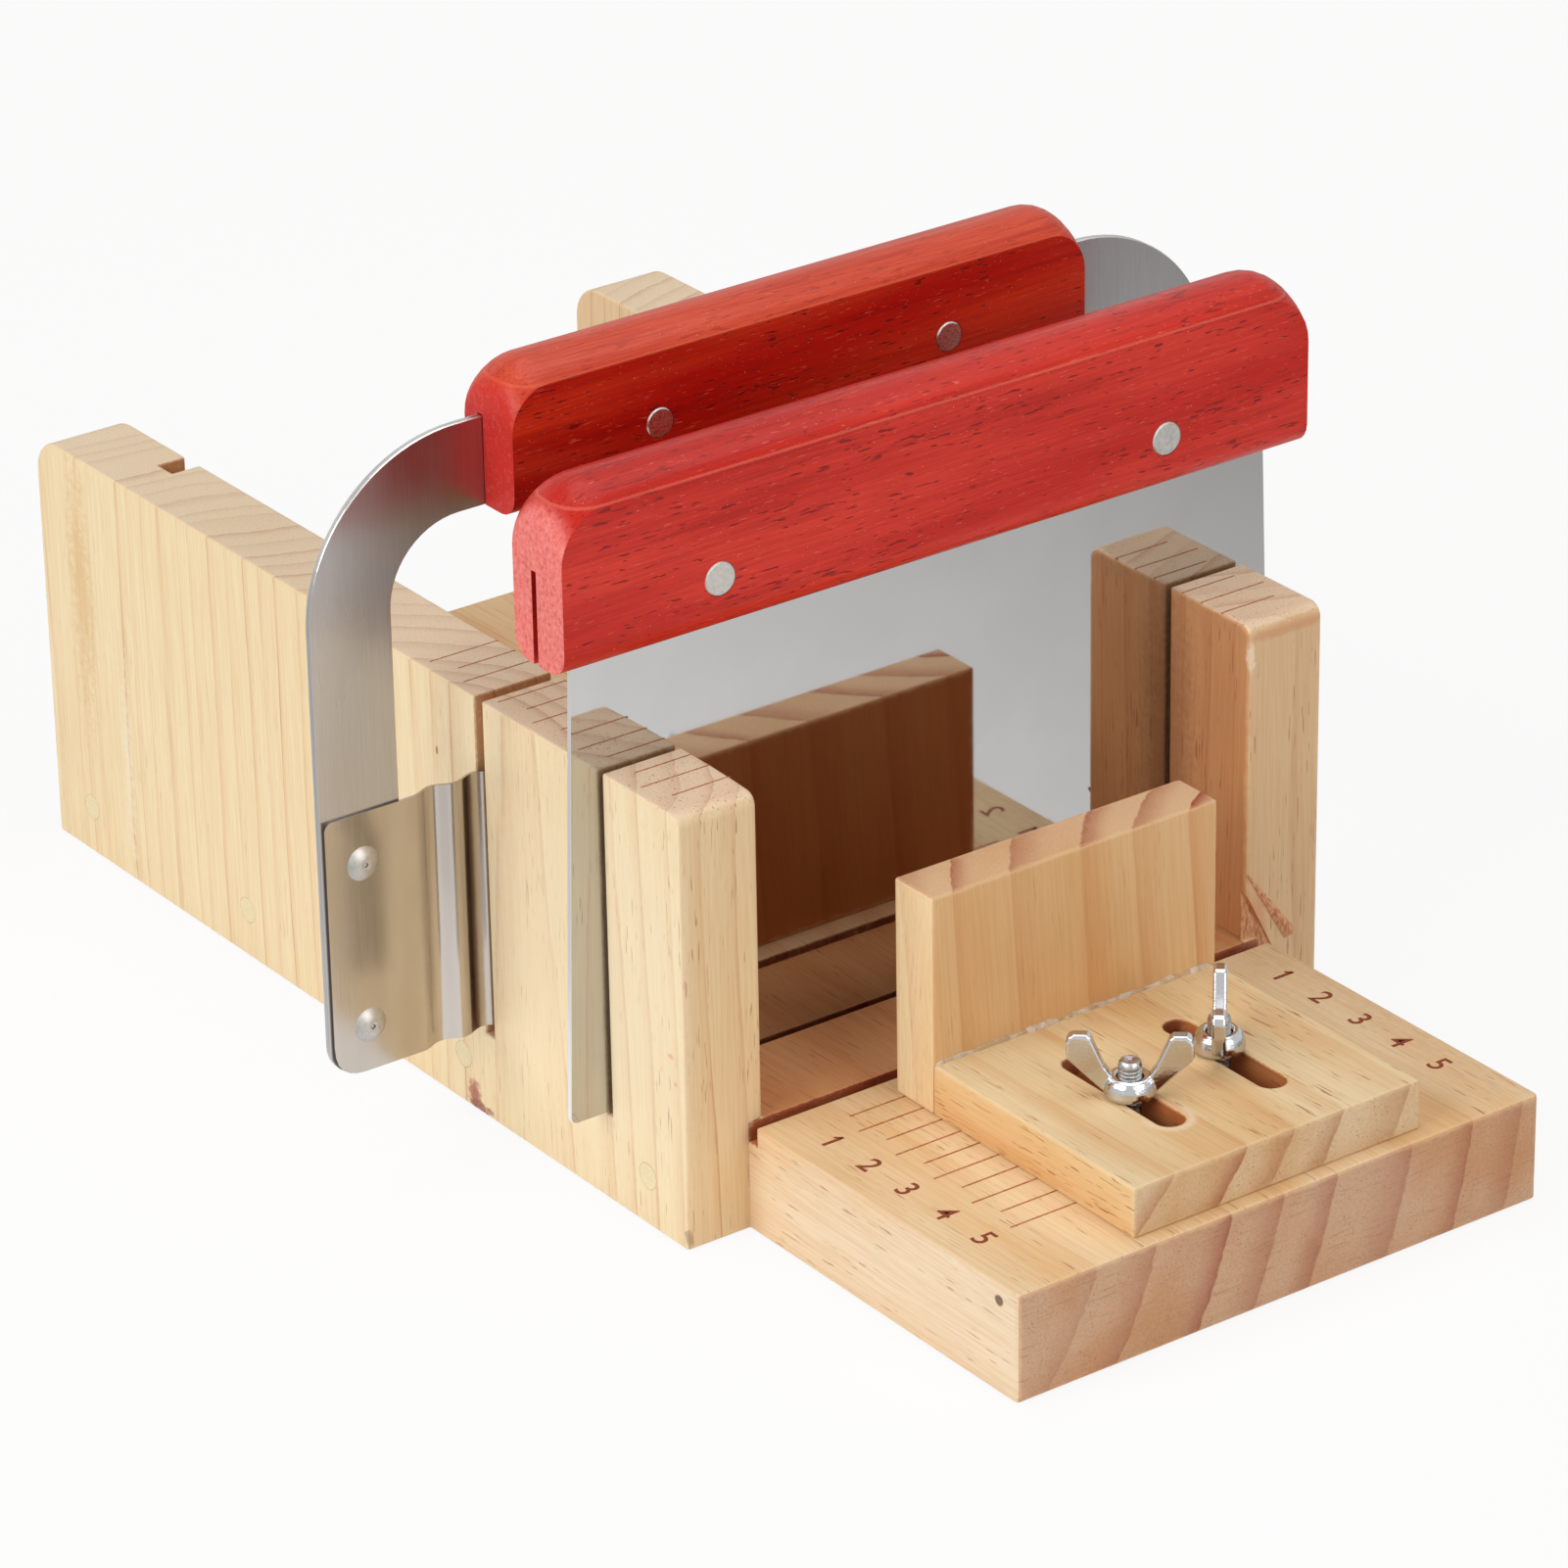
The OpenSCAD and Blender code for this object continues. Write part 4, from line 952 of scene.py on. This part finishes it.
nut = {
    "barrel": [(2.2, 0.0), (3.85, 0.0), (4.25, 0.35), (4.4, 1.0), (4.3, 1.9), (4.0, 2.8), (3.6, 3.4), (3.15, 3.7),
               (2.6, 3.7), (2.2, 3.4)],
    "wing": [(2.9, 0.9), (4.2, 0.8), (10.0, 6.5), (10.3, 7.2), (10.3, 9.7), (9.9, 10.6), (9.2, 11.0), (6.9, 11.0),
             (6.3, 10.5), (4.1, 5.3), (2.9, 3.6)],
    "wingThick": 2.3, "turns": {"left_wing_nut": 50, "right_wing_nut": 140}, "ridge": 0.4,
    "voxel": 0.11, "soften": 0.5, "softenTimes": 4,
}

def addWing(bm, turn):
    verts = [bm.verts.new((r * mm, -nut["wingThick"] / 2 * mm, z * mm)) for r, z in nut["wing"]]
    side = bm.faces.new(verts)
    grown = bmesh.ops.extrude_face_region(bm, geom=[side])["geom"]
    bmesh.ops.translate(bm, verts=vertsIn(grown), vec=(0, nut["wingThick"] * mm, 0))
    rims = {e for f in (side, *(g for g in grown if isinstance(g, bmesh.types.BMFace))) for e in f.edges}
    bmesh.ops.bevel(bm, geom=list(rims), offset=nut["ridge"] * mm, offset_type="OFFSET", segments=2, profile=0.5,
                    affect="EDGES", material=-1, clamp_overlap=True)
    bmesh.ops.rotate(bm, verts=bm.verts, cent=(0, 0, 0), matrix=Matrix.Rotation(math.radians(turn), 3, "Z"))

def makeWingNut(node, name, body):
    low, high = box[node]
    bm = spinProfile(nut["barrel"] + nut["barrel"][:1], 56)
    for turn in (0, 180):
        wing = bmesh.new()
        addWing(wing, turn + nut["turns"][node])
        mesh = bpy.data.meshes.new("wing")
        wing.to_mesh(mesh)
        wing.free()
        bm.from_mesh(mesh)
        bpy.data.meshes.remove(mesh)
    middle = (low + high) / 2
    bmesh.ops.recalc_face_normals(bm, faces=bm.faces)
    bmesh.ops.translate(bm, verts=bm.verts, vec=Vector((middle.x, middle.y, low.z)) * mm)
    piece = standIn(bm, name, node, body, brightPlating, smoothAngle=180)
    remesh = piece.modifiers.new("castSkin", "REMESH")
    remesh.mode, remesh.voxel_size, remesh.use_smooth_shade = "VOXEL", nut["voxel"] * mm, True
    soften = piece.modifiers.new("softCorners", "SMOOTH")
    soften.factor, soften.iterations = nut["soften"], nut["softenTimes"]

makeWingNut("left_wing_nut", "leftWingNut", "left_nut")
makeWingNut("right_wing_nut", "rightWingNut", "right_nut")

print("stage: ruler, saw marks and glue")

ruler = {
    "first": 3.3, "step": 5.0, "count": 10, "longHalf": 41.3, "shortHalf": 39.4,
    "wide": 0.36, "thick": 0.03, "deep": 0.2,
    "wallFrom": 50.7, "wallWide": 0.8,
    "wallMarks": {      # how far across the walls they reach, and how far behind the front they lie
        64.3: (-73.3, -63.3, -53.3, -43.2, -33.3, -12.8),
        62: (-68.3, -48.2, -38.3, -28.3, -17.8, -7.4),
    },
}

def addBlock(bm, size, middle, turn=0):
    made = bmesh.ops.create_cube(bm, size=1.0)["verts"]
    bmesh.ops.scale(bm, verts=made, vec=size)
    if turn:
        bmesh.ops.rotate(bm, verts=made, cent=(0, 0, 0), matrix=Matrix.Rotation(math.radians(turn), 3, "Z"))
    bmesh.ops.translate(bm, verts=made, vec=middle)

def addBar(bm, low, high):
    addBlock(bm, (Vector(high) - Vector(low)) * mm, (Vector(high) + Vector(low)) / 2 * mm)

def makeRuler():
    bm = bmesh.new()
    w, t, deep = ruler["wide"] / 2, ruler["thick"], ruler["deep"]
    top = box["base_board"][1].z
    for i in range(ruler["count"]):
        x = frontX + ruler["first"] + ruler["step"] * (i + 1)
        half = ruler["longHalf"] if i % 2 else ruler["shortHalf"]
        addBar(bm, (x - w, -half, top - deep), (x + w, half, top + t))
    top = box["left_wall"][1].z
    w *= ruler["wallWide"]
    for reach, offsets in ruler["wallMarks"].items():
        for x in [frontX + offset for offset in offsets]:
            for side in (-1, 1):
                start, end = sorted((ruler["wallFrom"] * side, reach * side))
                addBar(bm, (x - w, start, top - deep), (x + w, end, top + t))
    piece = finishPiece(bm, "rulerLines", scorch)
    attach(piece, "box")

makeRuler()

digits = {
    "x": 13.4, "apart": 10, "y": (-46.8, 47.6), "high": 4.4, "fontShare": 0.73, "thick": 0.03, "fat": 0.045,
    "lift": 0.01, "flag": (1.3, 0.5, 0.06), "flagAt": (-0.45, -0.6), "flagTurn": 42,    # the stroke of the 1
}

def makeDigits():
    depsgraph = bpy.context.evaluated_depsgraph_get()
    bm = bmesh.new()
    z = box["base_board"][1].z + digits["lift"]
    for digit in range(1, 6):
        for y in digits["y"]:
            curve = bpy.data.curves.new(f"digit{digit}", "FONT")
            curve.body, curve.align_x, curve.align_y = str(digit), "CENTER", "CENTER"
            curve.size = digits["high"] / digits["fontShare"] * mm
            curve.extrude, curve.offset = digits["thick"] * mm, digits["fat"] * mm
            text = bpy.data.objects.new(f"digit{digit}", curve)
            scene.collection.objects.link(text)
            depsgraph.update()
            mesh = bpy.data.meshes.new_from_object(text.evaluated_get(bpy.context.evaluated_depsgraph_get()))
            x = frontX + digits["x"] + digits["apart"] * (digit - 1)
            mesh.transform(Matrix.Translation(Vector((x, y, z)) * mm))
            bm.from_mesh(mesh)
            if digit == 1:
                aside, down = digits["flagAt"]
                place = Vector((frontX + digits["x"] + aside, y + digits["high"] / 2 + down, z))
                addBlock(bm, [size * mm for size in digits["flag"]], place * mm, digits["flagTurn"])
            bpy.data.objects.remove(text)
            bpy.data.meshes.remove(mesh)
            bpy.data.curves.remove(curve)
    bmesh.ops.remove_doubles(bm, verts=bm.verts, dist=1e-7)
    piece = finishPiece(bm, "rulerDigits", deepScorch)
    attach(piece, "box")

makeDigits()

glue = {"radius": 1.05, "sides": 10, "steps": 120, "inset": 0.5, "share": 0.62, "swell": 0.5, "ripple": 0.16,
        "taper": 1.5, "tip": 0.15}

def makeGlueBead():
    low, high = box["stop_fence"]
    bm = bmesh.new()
    ring = bmesh.ops.create_circle(bm, cap_ends=False, segments=glue["sides"], radius=1.0)["verts"]
    bmesh.ops.rotate(bm, verts=ring, cent=(0, 0, 0), matrix=Matrix.Rotation(math.radians(90), 3, "X"))
    front = bm.edges[:]
    span = high.y - low.y - 2 * glue["inset"]
    for i in range(glue["steps"]):
        grown = bmesh.ops.extrude_edge_only(bm, edges=front)["geom"]
        bmesh.ops.translate(bm, verts=vertsIn(grown), vec=(0, span / glue["steps"], 0))
        front = [g for g in grown if isinstance(g, bmesh.types.BMEdge)]
    for v in bm.verts:
        y = v.co.y
        swell = glue["swell"] * noise.noise((3.1, y * 0.33, 0.7))
        fat = glue["radius"] * (glue["share"] + swell + glue["ripple"] * noise.noise((8.2, y * 1.1, 2.7)))
        end = min(1.0, min(y, span - y) / glue["taper"] + glue["tip"])
        top = box["stop_foot"][1].z
        v.co = Vector((v.co.x * fat * end + high.x, y + low.y + glue["inset"], v.co.z * fat * end + top)) * mm
    bmesh.ops.holes_fill(bm, edges=bm.edges, sides=12)
    bmesh.ops.recalc_face_normals(bm, faces=bm.faces)
    piece = finishPiece(bm, "glueBead", driedGlue, smoothAngle=80)
    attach(piece, "stop")

makeGlueBead()

for node, material in (("left_wall_dowels", dowelWood), ("right_wall_dowels", dowelWood),
                       ("straight_left_rivet", rivetMetal), ("straight_right_rivet", rivetMetal),
                       ("wavy_left_handle_rivet", rearRivetMetal), ("wavy_right_handle_rivet", rearRivetMetal)):
    data = nodes[node].data
    data.materials.clear()
    data.materials.append(material)

print("stage: done")
